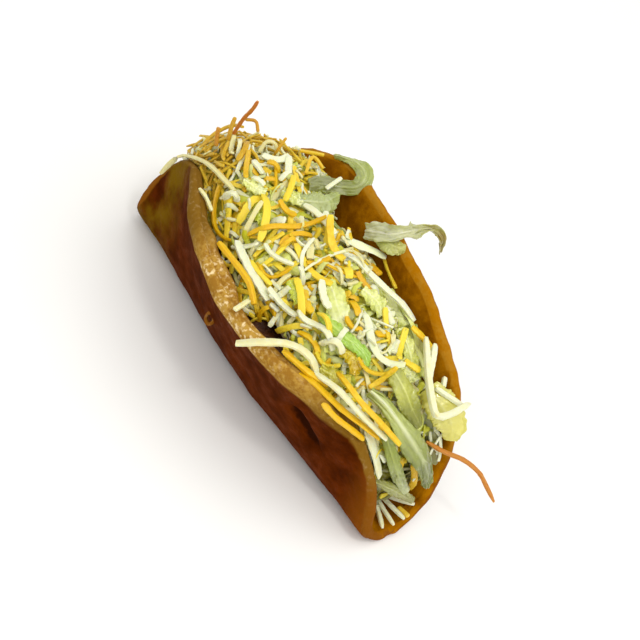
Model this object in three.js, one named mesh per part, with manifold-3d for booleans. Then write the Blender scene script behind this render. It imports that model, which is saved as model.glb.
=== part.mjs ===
// Taco: a thick fried flour tortilla folded once, filled with seasoned ground meat, fine shredded
// lettuce with a few larger leaves, and a heap of orange and white shredded cheese.
//
// Millimetres, +Z up. X runs along the fold, the left wall is towards -Y and the right wall towards
// +Y. The origin is the middle of the flat strip under the fold, which the taco rests on.

import * as THREE from "three";
import { mergeVertices } from "three/addons/utils/BufferGeometryUtils.js";
import Module from "manifold-3d";

const wasm = await Module();
wasm.setup();

// ---------------------------------------------------------------- driving dimensions

const FOLD_HALF_LENGTH = 80;
const OUTLINE_POWER = 2.4;
const SHELL_THICKNESS = 4.6;
const HALF_SHELL = SHELL_THICKNESS / 2;
const PIECE_GAP = 0.35;
const FILLING_CLEARANCE = 1.1;

// Each wall of the folded tortilla. Lists run from the far end of the fold (-X) to the near end.
const LEFT_WALL = {
  side: -1,
  depth: [75.0, 71.5, 67.4, 64.9, 66.2, 70.0, 72.3],
  leanDegrees: [107, 82, 70, 70, 85],
  curlPerMetre: [1.0, -1.8, 1.6],
  flatHalfWidth: [3.0, 9.2, 3.0],
  bendRadius: 9.0,
  skew: -7.9,
};
const RIGHT_WALL = {
  side: 1,
  depth: [78.2, 80.1, 80.2, 78.9, 78.5, 77.8, 78.1],
  leanDegrees: [52, 64, 74, 78, 70],
  curlPerMetre: [-1.1, -0.1, -0.3],
  flatHalfWidth: [8.1, 6.7, 3.5],
  bendRadius: 9.5,
  skew: -2.5,
};
const SKEW_REFERENCE = 75;
const BLISTER_HEIGHT = 0.5;
const RIM_WAVE = 0.7;
const RIM_NOSE = 1.6;
const RIM_NOSE_HALF = 0.45;
const SHELL_STATIONS = 38;
const SHELL_COLUMNS = 14;
const SHELL_COLUMN_POWER = 1.3;
const SHELL_TIP_TURN = 0.05;
const TIP_SHRINK = 0.55;

// The heap of filling, station by station along the fold.
const HEAP_DROP_LEFT = [9, 4, 4, 5, 6, 6, 8];
const HEAP_DROP_RIGHT = [8, 5.5, 8, 11, 9, 5, 4];
const HEAP_CROWN = [13, 13, 9.5, 8, 7, 5, 3];
const HEAP_PEAK = [0.4, 0.38, 0.45, 0.5, 0.5, 0.5, 0.5];
const HEAP_SPILL = [7, 3, 0, 0, 0, 0, 3];
const MOUND_POWER = 2.4;
const HEAP_FAR = -0.87;
const HEAP_NEAR = 0.88;
const HEAP_STATIONS = 15;
const HEAP_COLUMNS = 8;
const HEAP_END_REACH = 3;
const HEAP_END_SHRINK = 0.75;
const BED_COLUMNS = 8;
const BED_END_LIFT = 2;

// The hollow beside the left wall where the meat shows.
const POCKET_CENTRE = 18;
const POCKET_HALF_LENGTH = 13;
const POCKET_DEPTH = 12;
const POCKET_INNER = 0.06;
const POCKET_OUTER = 0.2;
const POCKET_SLOPE = 0.45;

// The bed of meat.
const MEAT_DROP_LEFT = [30, 22, 15, 11, 11, 20, 40];
const MEAT_DROP_RIGHT = [60, 55, 50, 48, 48, 50, 60];
const MEAT_FAR = -0.8;
const MEAT_NEAR = 0.75;
const MEAT_STATIONS = 12;
const MEAT_COLUMNS = 6;
const MEAT_LUMP = 0.7;
const MEAT_CROWN = 6;
const MEAT_END_REACH = 2;
const MEAT_END_SHRINK = 0.8;
const MEAT_ROOM = 1;

// Leaves and shreds.
const LEAF_THICKNESS = 0.9;
const LEAF_ROWS = 8;
const LEAF_COLUMNS = 4;
const LEAF_ROOM = 0.5;
const STEEP = 0.8;
const HEAP_SPAN = 55;
const SHRED_ROOT = -0.6;
const SHRED_REST = 1.7;
const SHRED_MARGIN = 0.05;

// The layer of cheese: where it reaches across the heap, and how deep it is.
const CHEESE_LEFT = [0.1, 0.06, 0.06, 0.2, 0.16, 0.05, 0.05];
const CHEESE_RIGHT = [0.85, 0.82, 0.75, 0.72, 0.66, 0.4, 0.2];
const CHEESE_FAR = -0.85;
const CHEESE_NEAR = 0.72;
const CHEESE_STATIONS = 13;
const CHEESE_COLUMNS = 5;
const CHEESE_DEPTH = 3;
const CHEESE_RISE = 0.5;
const CHEESE_EDGE = -0.8;
const CHEESE_ROOM = 0.5;

const CHEESE_SCATTER = {
  seed: 11, count: 30, from: -0.72, to: 0.58, edges: insideCheese,
  length: [12, 24], width: [1.8, 2.9], thickness: 2.0, lift: 2.5,
};
const LETTUCE_SCATTERS = [
  { seed: 23, count: 14, from: -0.62, to: 0.84, edges: besideCheese,
    length: [12, 24], width: [1.6, 2.6], thickness: 1.6, lift: 2.0 },
  { seed: 31, count: 4, from: 0.8, to: 0.86, edges: () => [0.15, 0.6],
    length: [10, 18], width: [1.6, 2.6], thickness: 1.6, lift: 1.5 },
];

// ---------------------------------------------------------------- small helpers

function randomSource(seed) {
  let state = seed;
  return () => {
    state = (state * 1664525 + 1013904223) % 4294967296;
    return state / 4294967296;
  };
}

// Smooth curve through values at equally spaced stations from -1 to 1.
function along(values, u) {
  const last = values.length - 1;
  const place = THREE.MathUtils.clamp((u + 1) / 2, 0, 1) * last;
  const i = Math.min(Math.floor(place), last - 1);
  const t = place - i;
  const before = values[Math.max(i - 1, 0)];
  const after = values[Math.min(i + 2, last)];
  const startSlope = (values[i + 1] - before) / 2;
  const endSlope = (after - values[i]) / 2;
  const rise = values[i + 1] - values[i];
  const bend = 3 * rise - 2 * startSlope - endSlope;
  const twist = startSlope + endSlope - 2 * rise;
  return values[i] + t * (startSlope + t * (bend + t * twist));
}

// A closed mesh from points and triangles, with its faces turned to point out.
function meshOf(points, index) {
  const volume = new THREE.Vector3();
  let sum = 0;
  for (let i = 0; i < index.length; i += 3) {
    const [a, b, c] = [points[index[i]], points[index[i + 1]], points[index[i + 2]]];
    sum += a.dot(volume.crossVectors(b, c));
  }
  const turned = sum < 0 ? index.map((_, i) => index[i - (i % 3) + ((3 - (i % 3)) % 3)]) : index;
  const geometry = new THREE.BufferGeometry();
  const positions = points.flatMap((p) => [p.x, p.y, p.z]);
  geometry.setAttribute("position", new THREE.Float32BufferAttribute(positions, 3));
  geometry.setIndex(turned);
  return geometry;
}

// A closed mesh through rings of points with the same count, with a fan over each end.
function loft(rings) {
  const count = rings[0].length;
  const points = rings.flat();
  const index = [];
  for (let i = 0; i + 1 < rings.length; i += 1) {
    for (let j = 0; j < count; j += 1) {
      const a = i * count + j;
      const b = i * count + ((j + 1) % count);
      index.push(a, b, b + count, a, b + count, a + count);
    }
  }
  const lastRing = (rings.length - 1) * count;
  const middle = (ring) => ring.reduce((sum, p) => sum.add(p), new THREE.Vector3()).divideScalar(count);
  const start = points.push(middle(rings[0])) - 1;
  const end = points.push(middle(rings[rings.length - 1])) - 1;
  for (let j = 0; j < count; j += 1) {
    const k = (j + 1) % count;
    index.push(start, k, j, end, lastRing + j, lastRing + k);
  }
  return meshOf(points, index);
}

// The same mesh with every vertex moved out, which cuts a neighbour back to leave a gap.
function swollen(geometry, distance) {
  const result = geometry.clone();
  result.computeVertexNormals();
  const position = result.attributes.position;
  const normal = result.attributes.normal;
  for (let i = 0; i < position.count; i += 1) {
    position.setXYZ(
      i,
      position.getX(i) + distance * normal.getX(i),
      position.getY(i) + distance * normal.getY(i),
      position.getZ(i) + distance * normal.getZ(i),
    );
  }
  result.deleteAttribute("normal");
  return result;
}

function toSolid(geometry) {
  const bare = geometry.clone();
  bare.deleteAttribute("normal");
  const merged = mergeVertices(bare, 1e-4);
  const mesh = new wasm.Mesh({
    numProp: 3,
    vertProperties: Float32Array.from(merged.attributes.position.array),
    triVerts: Uint32Array.from(merged.index.array),
  });
  return new wasm.Manifold(mesh);
}

// The largest body of a solid, as three.js geometry.
function fromSolid(solid) {
  const bodies = solid.decompose().sort((a, b) => b.volume() - a.volume());
  const mesh = bodies[0].getMesh();
  const geometry = new THREE.BufferGeometry();
  const positions = new Float32Array(mesh.numVert * 3);
  for (let i = 0; i < mesh.numVert; i += 1) {
    positions.set(mesh.vertProperties.subarray(i * mesh.numProp, i * mesh.numProp + 3), i * 3);
  }
  geometry.setAttribute("position", new THREE.BufferAttribute(positions, 3));
  geometry.setIndex(Array.from(mesh.triVerts));
  geometry.computeVertexNormals();
  return geometry;
}

// ---------------------------------------------------------------- the folded tortilla

function wallDepth(wall, x) {
  const u = Math.min(Math.abs(x) / FOLD_HALF_LENGTH, 1);
  return along(wall.depth, x / FOLD_HALF_LENGTH) * (1 - u ** OUTLINE_POWER) ** (1 / OUTLINE_POWER);
}

// A point on one wall, `path` millimetres up the tortilla from the middle of the fold, moved out
// from the middle of its thickness by `offset`.
function wallPoint(wall, x, path, offset) {
  const u = x / FOLD_HALF_LENGTH;
  const lean = THREE.MathUtils.degToRad(along(wall.leanDegrees, u));
  const curl = along(wall.curlPerMetre, u) / 1000;
  const flat = along(wall.flatHalfWidth, u);
  const bendLength = wall.bendRadius * lean;
  const angleAt = (distance) => {
    if (distance < flat) return 0;
    if (distance < flat + bendLength) return (distance - flat) / wall.bendRadius;
    return lean + curl * (distance - flat - bendLength);
  };
  const steps = 32;
  const step = path / steps;
  let y = 0;
  let z = 0;
  for (let i = 0; i < steps; i += 1) {
    const angle = angleAt((i + 0.5) * step);
    y += Math.cos(angle) * step;
    z += Math.sin(angle) * step;
  }
  const angle = angleAt(path);
  return new THREE.Vector3(
    x + wall.skew * (path / SKEW_REFERENCE) ** 2,
    wall.side * (y + offset * Math.sin(angle)),
    z - offset * Math.cos(angle) + HALF_SHELL,
  );
}

// Low blisters of the fried surface, none on the strip that the taco rests on.
function blister(wall, x, path, phase) {
  const rise = THREE.MathUtils.smoothstep(path, 12, 22);
  const p = path * wall.side;
  const waves =
    Math.sin(0.19 * x + 0.11 * p + phase) +
    Math.sin(0.13 * x - 0.23 * p + 2.1 * phase) +
    0.7 * Math.sin(0.31 * x + 0.27 * p + 3.7 * phase);
  return (BLISTER_HEIGHT / 2) * rise * waves;
}

// Stations along the fold, close together where the outline turns in to the fold's ends.
function shellStations() {
  const stations = [];
  for (let i = 0; i <= SHELL_STATIONS; i += 1) {
    const turn = SHELL_TIP_TURN + ((Math.PI - 2 * SHELL_TIP_TURN) * i) / SHELL_STATIONS;
    const c = -Math.cos(turn);
    stations.push(FOLD_HALF_LENGTH * Math.sign(c) * Math.abs(c) ** (2 / OUTLINE_POWER));
  }
  return stations;
}

// Which way the outline of the tortilla faces at a station: along the fold, and up the wall.
function outlineNormal(wall, x) {
  const u = Math.abs(x) / FOLD_HALF_LENGTH;
  const rise = (1 - u ** OUTLINE_POWER) ** (1 - 1 / OUTLINE_POWER) / along(wall.depth, x / FOLD_HALF_LENGTH);
  const run = u ** (OUTLINE_POWER - 1) / FOLD_HALF_LENGTH;
  const size = Math.hypot(rise, run);
  return [(Math.sign(x) * run) / size, rise / size];
}

// One section across the fold: the outer face, the right rim, the inner face and the left rim.
function shellRing(x, width, thickness, shift) {
  const face = (wall, share, offset) => {
    const wave = RIM_WAVE * Math.sin(0.21 * x + 1.3 * wall.side) * share;
    const path = Math.max((wallDepth(wall, x) * width + wave) * share, 0);
    const relief = blister(wall, x, path, offset > 0 ? 0.7 : 2.9);
    return wallPoint(wall, x, path, offset * (HALF_SHELL * thickness + relief));
  };
  const nose = (wall, offset) => {
    const [outX, outPath] = outlineNormal(wall, x);
    const wave = RIM_WAVE * Math.sin(0.21 * x + 1.3 * wall.side);
    const path = wallDepth(wall, x) * width + wave + RIM_NOSE * outPath * width;
    const point = wallPoint(wall, x, path, offset * HALF_SHELL * thickness);
    point.x += RIM_NOSE * outX * width;
    return point;
  };
  const ring = [];
  const across = (offset, direction) => {
    for (let j = 0; j <= SHELL_COLUMNS; j += 1) {
      const t = direction * ((2 * j) / SHELL_COLUMNS - 1);
      ring.push(face(t < 0 ? LEFT_WALL : RIGHT_WALL, Math.abs(t) ** SHELL_COLUMN_POWER, offset));
    }
  };
  across(1, 1);
  ring.push(nose(RIGHT_WALL, RIM_NOSE_HALF), nose(RIGHT_WALL, -RIM_NOSE_HALF));
  across(-1, -1);
  ring.push(nose(LEFT_WALL, -RIM_NOSE_HALF), nose(LEFT_WALL, RIM_NOSE_HALF));
  ring.forEach((point) => point.setX(point.x + shift));
  return ring;
}

function shellGeometry() {
  const stations = shellStations();
  const rings = stations.map((x) => shellRing(x, 1, 1, 0));
  rings.unshift(shellRing(stations[0], TIP_SHRINK, TIP_SHRINK, -RIM_NOSE));
  rings.push(shellRing(stations[stations.length - 1], TIP_SHRINK, TIP_SHRINK, RIM_NOSE));
  return loft(rings);
}

// ---------------------------------------------------------------- the heap of filling

// How far the heap falls back from the left rim where the meat shows beside it.
function pocket(x) {
  return POCKET_DEPTH * Math.exp(-(((x - POCKET_CENTRE) / POCKET_HALF_LENGTH) ** 4));
}

function heapDrop(wall, x) {
  return along(wall.side < 0 ? HEAP_DROP_LEFT : HEAP_DROP_RIGHT, x / FOLD_HALF_LENGTH);
}

// The top of the heap: `across` runs from the left wall (0) to the right wall (1).
function heapTop(x, across, inset = 0) {
  const u = x / FOLD_HALF_LENGTH;
  const offset = -(HALF_SHELL + FILLING_CLEARANCE + inset);
  const edge = (wall) => wallPoint(wall, x, wallDepth(wall, x) - heapDrop(wall, x), offset);
  const peak = along(HEAP_PEAK, u);
  const slope = across < peak ? (peak - across) / peak : (across - peak) / (1 - peak);
  const mound = 1 - slope ** MOUND_POWER;
  const fall = pocket(x) * (1 - THREE.MathUtils.smoothstep(across, POCKET_INNER, POCKET_OUTER));
  const point = edge(LEFT_WALL).lerp(edge(RIGHT_WALL), across);
  point.x += Math.sign(u) * along(HEAP_SPILL, u) * mound;
  point.y += POCKET_SLOPE * fall;
  point.z += along(HEAP_CROWN, u) * mound - fall;
  return point;
}

// A body that follows the inside of the tortilla from wall to wall, closed by the points of `top`.
function bedRing(x, leftPath, rightPath, top) {
  const ring = [];
  const offset = -(HALF_SHELL + FILLING_CLEARANCE);
  for (let j = 0; j <= BED_COLUMNS; j += 1) {
    const t = (2 * j) / BED_COLUMNS - 1;
    const wall = t < 0 ? LEFT_WALL : RIGHT_WALL;
    const path = (t < 0 ? leftPath : rightPath) * Math.abs(t);
    ring.push(wallPoint(wall, x, path, offset));
  }
  return ring.concat(top);
}

function stationsBetween(from, to, count) {
  return Array.from({ length: count + 1 }, (_, i) => FOLD_HALF_LENGTH * (from + ((to - from) * i) / count));
}

// Both ends of a bed are rounded off: the last section is drawn in and pushed out a little.
function rounded(rings, reach, shrink) {
  const cap = (ring, direction) => {
    const low = ring.reduce((least, p) => Math.min(least, p.z), Infinity);
    const middle = ring.reduce((sum, p) => sum + p.y, 0) / ring.length;
    return ring.map((p) => {
      const y = middle + (p.y - middle) * shrink;
      const z = low + BED_END_LIFT + (p.z - low) * shrink;
      return new THREE.Vector3(p.x + direction * reach, y, z);
    });
  };
  return [cap(rings[0], -1), ...rings, cap(rings[rings.length - 1], 1)];
}

function heapGeometry() {
  const rings = stationsBetween(HEAP_FAR, HEAP_NEAR, HEAP_STATIONS).map((x) => {
    const top = [];
    for (let j = HEAP_COLUMNS - 1; j > 0; j -= 1) {
      top.push(heapTop(x, j / HEAP_COLUMNS));
    }
    const left = wallDepth(LEFT_WALL, x) - heapDrop(LEFT_WALL, x) - pocket(x);
    const right = wallDepth(RIGHT_WALL, x) - heapDrop(RIGHT_WALL, x);
    return bedRing(x, left, right, top);
  });
  return loft(rounded(rings, HEAP_END_REACH, HEAP_END_SHRINK));
}

// The meat lies along the bottom and up the left wall, with a lumpy top.
function meatGeometry() {
  const rings = stationsBetween(MEAT_FAR, MEAT_NEAR, MEAT_STATIONS).map((x, i) => {
    const u = x / FOLD_HALF_LENGTH;
    const left = wallDepth(LEFT_WALL, x) - along(MEAT_DROP_LEFT, u);
    const right = wallDepth(RIGHT_WALL, x) - along(MEAT_DROP_RIGHT, u);
    const offset = -(HALF_SHELL + FILLING_CLEARANCE);
    const start = wallPoint(RIGHT_WALL, x, right, offset);
    const end = wallPoint(LEFT_WALL, x, left, offset);
    const top = [];
    for (let j = 1; j < MEAT_COLUMNS; j += 1) {
      const t = j / MEAT_COLUMNS;
      const lump = MEAT_LUMP * (Math.sin(2.6 * i + 3.1 * j) + Math.sin(1.7 * i - 2.3 * j));
      const point = start.clone().lerp(end, t);
      point.z += MEAT_CROWN * Math.sin(Math.PI * t) + lump;
      top.push(point);
    }
    return bedRing(x, left, right, top);
  });
  return loft(rounded(rings, MEAT_END_REACH, MEAT_END_SHRINK));
}

// ---------------------------------------------------------------- shreds and leaves

const at = (x, y, z) => new THREE.Vector3(x, y, z);
const onHeap = (x, across, lift) => heapTop(x, across).add(at(0, 0, lift));

// A shred: a bar of rectangular section that bends through the points of `path`.
function shred({ path, width, thickness, steps = 3 }) {
  const curve = new THREE.CatmullRomCurve3(path);
  const up = at(0, 0, 1);
  const rings = [];
  for (let i = 0; i <= steps; i += 1) {
    const middle = curve.getPointAt(i / steps);
    const tangent = curve.getTangentAt(i / steps);
    const reference = Math.abs(tangent.z) > STEEP ? at(0, 1, 0) : up;
    const side = reference.clone().cross(tangent).normalize();
    const over = tangent.clone().cross(side);
    const corner = (a, b) =>
      middle.clone().addScaledVector(side, (a * width) / 2).addScaledVector(over, (b * thickness) / 2);
    rings.push([corner(-1, -1), corner(1, -1), corner(1, 1), corner(-1, 1)]);
  }
  return loft(rings);
}

// A leaf: a thin sheet along a spine, with ruffled margins. Both faces have the same triangles.
function leaf({ spine, halfWidths, side, ruffle, waves, cup }) {
  const curve = new THREE.CatmullRomCurve3(spine);
  const faces = [[], []];
  const rows = LEAF_ROWS;
  const columns = LEAF_COLUMNS;
  for (let i = 0; i <= rows; i += 1) {
    const t = i / rows;
    const middle = curve.getPointAt(t);
    const tangent = curve.getTangentAt(t);
    const across = side.clone().addScaledVector(tangent, -side.dot(tangent)).normalize();
    const normal = tangent.clone().cross(across).normalize();
    const half = along(halfWidths, 2 * t - 1);
    for (let j = 0; j <= columns; j += 1) {
      const v = (2 * j) / columns - 1;
      const lift = ruffle * v * v * Math.sin(waves * Math.PI * t + 2.2 * v) + cup * v * v;
      const point = middle.clone().addScaledVector(across, half * v).addScaledVector(normal, lift);
      faces[0].push(point.clone().addScaledVector(normal, LEAF_THICKNESS / 2));
      faces[1].push(point.clone().addScaledVector(normal, -LEAF_THICKNESS / 2));
    }
  }
  const stride = columns + 1;
  const below = faces[0].length;
  const index = [];
  const quad = (a, b, c, d) => index.push(a, b, c, a, c, d);
  for (let i = 0; i < rows; i += 1) {
    for (let j = 0; j < columns; j += 1) {
      const k = i * stride + j;
      index.push(k, k + 1, k + stride + 1, k, k + stride + 1, k + stride);
      index.push(below + k, below + k + stride + 1, below + k + 1);
      index.push(below + k, below + k + stride, below + k + stride + 1);
    }
    const left = i * stride;
    const right = left + columns;
    quad(left + stride, below + left + stride, below + left, left);
    quad(right, below + right, below + right + stride, right + stride);
  }
  for (let j = 0; j < columns; j += 1) {
    const last = rows * stride + j;
    quad(j, below + j, below + j + 1, j + 1);
    quad(last + 1, below + last + 1, below + last, last);
  }
  return meshOf([...faces[0], ...faces[1]], index);
}

// Larger leaves of lettuce, each where it lies.
const LEAVES = {
  leaf_far_rim: {
    spine: [
      at(-21, 8, 60), at(-24, 16, 59.6), at(-28, 25, 60), at(-31, 33, 63),
      at(-31.5, 39.5, 66.2), at(-31, 45, 63),
    ],
    halfWidths: [4, 6.5, 7.5, 8, 6.5, 3.5],
    side: at(0.85, 0.3, -0.15),
    ruffle: 1.4,
    waves: 3,
    cup: 1.0,
  },
  leaf_right_rim: {
    spine: [
      at(-6, 22, 64), at(-1, 23.5, 67), at(3.2, 26, 71), at(5.6, 32, 73.2), at(6.6, 39, 72.2),
      at(8.6, 45.5, 68.8), at(10.2, 49.5, 64.5), at(10.4, 50.5, 60),
    ],
    halfWidths: [6, 7.5, 6.5, 5.5, 3.2, 2.4, 2, 1.4],
    side: at(0.9, -0.1, -0.3),
    ruffle: 1.1,
    waves: 3,
    cup: 0.8,
  },
  leaf_near_corner: {
    spine: [at(55, 12.5, 50.4), at(60.5, 14, 49.6), at(65, 16, 48), at(68.5, 17.5, 45.4), at(72, 17, 41)],
    halfWidths: [4, 5.4, 6, 5.4, 2.4],
    side: at(0.2, 0.67, 0.43),
    ruffle: 0.8,
    waves: 2,
    cup: -0.8,
  },
  leaf_near_long: {
    spine: [
      onHeap(52, 0.27, 3), onHeap(58, 0.38, 3.4), onHeap(65, 0.52, 3.6), onHeap(70, 0.68, 2.5),
      at(77, 8.5, 30), at(78.5, 6, 23),
    ],
    halfWidths: [2.5, 3.6, 4.2, 4.2, 3.4, 2],
    side: at(0.5, 0.7, 0.2),
    ruffle: 0.9,
    waves: 3,
    cup: -0.8,
  },
  leaf_near_low: {
    spine: [onHeap(66, 0.2, 1.2), at(73.5, -4.5, 29), at(76, -1.5, 21), at(78.5, 2, 14)],
    halfWidths: [2, 3, 3.2, 2.2],
    side: at(0.35, 0.9, 0.1),
    ruffle: 0.8,
    waves: 2,
    cup: -0.5,
  },
  leaf_centre: {
    spine: [onHeap(28, 0.33, 2.6), onHeap(35, 0.36, 3.2), onHeap(41, 0.37, 3.0), onHeap(46, 0.38, 2.4)],
    halfWidths: [2.6, 3.8, 3.6, 2.4],
    side: at(0.3, 0.9, 0),
    ruffle: 1.2,
    waves: 4,
    cup: -0.5,
  },
  leaf_near_side: {
    spine: [onHeap(47, 0.6, 2.2), onHeap(52, 0.63, 2.8), onHeap(58, 0.65, 2.6), onHeap(62, 0.67, 2.0)],
    halfWidths: [3, 4.2, 4.2, 2.6],
    side: at(0.3, 0.9, 0),
    ruffle: 0.9,
    waves: 2,
    cup: -0.8,
  },
};

// The long shreds of cheese that lie on top or stick out, width and thickness with each.
const LONG_SHREDS = [
  { width: 2.9, thickness: 2.2, path: [at(15.5, -43.8, 51.2), at(20.8, -36.8, 54.8), at(25.3, -28.4, 55.6),
    at(31, -25, 56), onHeap(41, 0.16, 0)] },
  { width: 2.5, thickness: 1.9, path: [at(-77.5, -9.5, 28), at(-75, -8.5, 37), at(-70, -8.5, 45),
    at(-57, -10, 54.5), onHeap(-46, 0.12, 0.8)] },
  { width: 2.2, thickness: 1.8, path: [onHeap(-62, 0.5, -3), at(-61.8, 4, 69), at(-60.4, 5, 76.5),
    at(-60, 5.5, 80)] },
  { width: 2.2, thickness: 1.8, path: [onHeap(-61, 0.4, -3), at(-62, 0, 66), at(-63, 1, 69.5)] },
  { width: 2.2, thickness: 1.8, path: [onHeap(-60, 0.3, -3), at(-63.5, -3.5, 60), at(-65, -3, 63.5)] },
  { width: 2.2, thickness: 1.8, path: [onHeap(-47, 0.66, -2), at(-47.5, 12, 66), at(-48, 14, 70.5)] },
  { width: 2.4, thickness: 2.0, path: [onHeap(5, 0.68, 1), onHeap(14, 0.74, 1.8), onHeap(24, 0.8, 1.6),
    onHeap(33, 0.93, 2)] },
  { width: 2.6, thickness: 2.0, path: [onHeap(-22, 0.3, 0.6), onHeap(-18, 0.18, 1.4), onHeap(-12, 0.14, 1.4),
    onHeap(-2, 0.2, 1.4)] },
  { width: 7.5, thickness: 1.6, path: [onHeap(-7, 0.22, 1.2), onHeap(-1, 0.24, 1.4), onHeap(6, 0.27, 1)] },
  { width: 2.4, thickness: 2.0, path: [onHeap(20, 0.24, 0.8), onHeap(26, 0.27, 1.6), onHeap(34, 0.26, 1.6),
    onHeap(41, 0.29, 0.6)] },
  { width: 3.0, thickness: 2.0, path: [at(-22.7, -28.4, 52.5), at(-14, -28.5, 54), at(-5, -28, 54.5),
    at(4, -28, 52)] },
  { width: 2.8, thickness: 2.0, path: [onHeap(-16, 0.2, 0.6), onHeap(-14, 0.36, 1.6), onHeap(-11, 0.5, 1.4),
    onHeap(-9, 0.62, 0.4)] },
  { width: 3.0, thickness: 2.2, path: [onHeap(44, 0.06, 0.6), onHeap(50, 0.07, 1.8), onHeap(56, 0.09, 1.8),
    onHeap(62, 0.13, 0.8)] },
  { width: 3.2, thickness: 2.2, path: [onHeap(49, 0.2, 0.8), onHeap(55, 0.24, 2), onHeap(60, 0.29, 1.6),
    onHeap(64, 0.34, 0.4)] },
  { width: 4.4, thickness: 2.4, path: [onHeap(60, 0.14, 0.4), onHeap(66, 0.08, 1.6), at(74, -7.5, 26)] },
];

// Shreds that lie apart from the layer, as loose pieces.
const LOOSE_SHREDS = {
  cheese_loop: [
    { width: 2.6, thickness: 2.2, steps: 8, path: [onHeap(44, 0.93, 5), onHeap(52, 0.8, 6.5),
      onHeap(58, 0.7, 8.5), at(66.5, 7, 53.5), at(68.5, 12.5, 54), at(68, 18.5, 54.3), at(67, 23.5, 52)] },
    { width: 2.6, thickness: 2.0, path: [onHeap(47, 0.98, 6), onHeap(52, 0.86, 6.6), onHeap(58, 0.72, 6.8),
      at(66.5, 7.5, 51.5)] },
  ],
  cheese_over_rim: [
    { width: 2.4, thickness: 2.0, steps: 6, path: [at(68, 10, 37.5), at(73.5, 14.5, 36.5), at(79, 20.5, 35.5),
      at(84.5, 24.8, 33), at(88.5, 27, 29.5), at(94, 29.3, 25)] },
  ],
  cheese_in_fold: [
    { width: 2.2, thickness: 1.8, steps: 2, path: [at(65, 1, 7.2), at(73, -1, 7), at(80, -4, 7.2)] },
    { width: 2.2, thickness: 1.8, steps: 2, path: [at(64, 3, 7.4), at(73, 3.5, 8.4), at(81, 4.5, 9.4)] },
    { width: 2.2, thickness: 1.8, steps: 2, path: [at(64, 2, 7.4), at(72, 6, 9), at(78.5, 10, 12)] },
  ],
};

// Seeded shreds scattered over the heap, kept between the places across it that `edges` gives.
function scatteredShreds({ seed, count, from, to, edges, length, width, thickness, lift }) {
  const random = randomSource(seed);
  const between = (a, b) => a + (b - a) * random();
  const shreds = [];
  for (let i = 0; i < count; i += 1) {
    const x = FOLD_HALF_LENGTH * (from + ((to - from) * (i + random())) / count);
    const [low, high] = edges(x);
    const across = between(low, high);
    const heading = between(-1.2, 1.2);
    const bend = between(-0.5, 0.5);
    const reach = between(length[0], length[1]);
    const tip = between(0, lift);
    const lifts = [SHRED_ROOT, SHRED_REST, SHRED_REST + tip];
    const path = lifts.map((rise, k) => {
      const t = k / 2 - 0.5;
      const angle = heading + bend * t;
      const place = THREE.MathUtils.clamp(across + (reach * t * Math.sin(angle)) / HEAP_SPAN, low, high);
      return onHeap(x + reach * t * Math.cos(angle), place, rise);
    });
    shreds.push({ path, width: between(width[0], width[1]), thickness, steps: 2 });
  }
  return shreds;
}

function cheeseEdges(x) {
  const u = x / FOLD_HALF_LENGTH;
  return [along(CHEESE_LEFT, u), along(CHEESE_RIGHT, u)];
}

function insideCheese(x) {
  const [low, high] = cheeseEdges(x);
  return [low + SHRED_MARGIN, high - SHRED_MARGIN];
}

function besideCheese(x) {
  return [cheeseEdges(x)[1] + SHRED_MARGIN, 1 - SHRED_MARGIN / 2];
}

// The layer of cheese on the heap, under its loose shreds.
function cheeseLayerGeometry() {
  const rings = stationsBetween(CHEESE_FAR, CHEESE_NEAR, CHEESE_STATIONS).map((x) => {
    const [low, high] = cheeseEdges(x);
    const spots = [];
    for (let j = 0; j <= CHEESE_COLUMNS; j += 1) {
      spots.push(low + ((high - low) * j) / CHEESE_COLUMNS);
    }
    const rise = (j) => (j % CHEESE_COLUMNS === 0 ? CHEESE_EDGE : CHEESE_RISE);
    const top = spots.map((across, j) => onHeap(x, across, rise(j)));
    const bottom = spots.map((across) => onHeap(x, across, -CHEESE_DEPTH));
    return [...top, ...bottom.reverse()];
  });
  return loft(rings);
}

// ---------------------------------------------------------------- the parts

const MATERIALS = {
  tortilla: new THREE.MeshStandardMaterial({ color: 0xb0763a, roughness: 0.6, metalness: 0 }),
  meat: new THREE.MeshStandardMaterial({ color: 0x5a2f16, roughness: 0.55, metalness: 0 }),
  lettuce: new THREE.MeshStandardMaterial({ color: 0xd9dc93, roughness: 0.45, metalness: 0 }),
  leaf: new THREE.MeshStandardMaterial({ color: 0xa9b96a, roughness: 0.35, metalness: 0 }),
  cheese: new THREE.MeshStandardMaterial({ color: 0xeeb83a, roughness: 0.5, metalness: 0 }),
};

const group = new THREE.Group();

function addPart(name, geometry, material) {
  const mesh = new THREE.Mesh(geometry, material);
  mesh.name = name;
  group.add(mesh);
}

const join = (solids) => solids.reduce((sum, solid) => sum.add(solid));
const roomFor = (geometry, gap) => toSolid(swollen(geometry, gap));

const shell = shellGeometry();
addPart("tortilla_shell", shell, MATERIALS.tortilla);

const meat = meatGeometry();
addPart("ground_meat", meat, MATERIALS.meat);

// Each leaf is cut back from the shell and from the leaves before it, and leaves room for the rest.
let taken = roomFor(shell, PIECE_GAP);
for (const [name, shape] of Object.entries(LEAVES)) {
  const geometry = leaf(shape);
  addPart(name, fromSolid(toSolid(geometry).subtract(taken)), MATERIALS.leaf);
  taken = taken.add(roomFor(geometry, LEAF_ROOM));
}

for (const [name, shapes] of Object.entries(LOOSE_SHREDS)) {
  const pieces = shapes.map(shred);
  addPart(name, fromSolid(join(pieces.map(toSolid)).subtract(taken)), MATERIALS.cheese);
  taken = taken.add(join(pieces.map((piece) => roomFor(piece, CHEESE_ROOM))));
}

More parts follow.
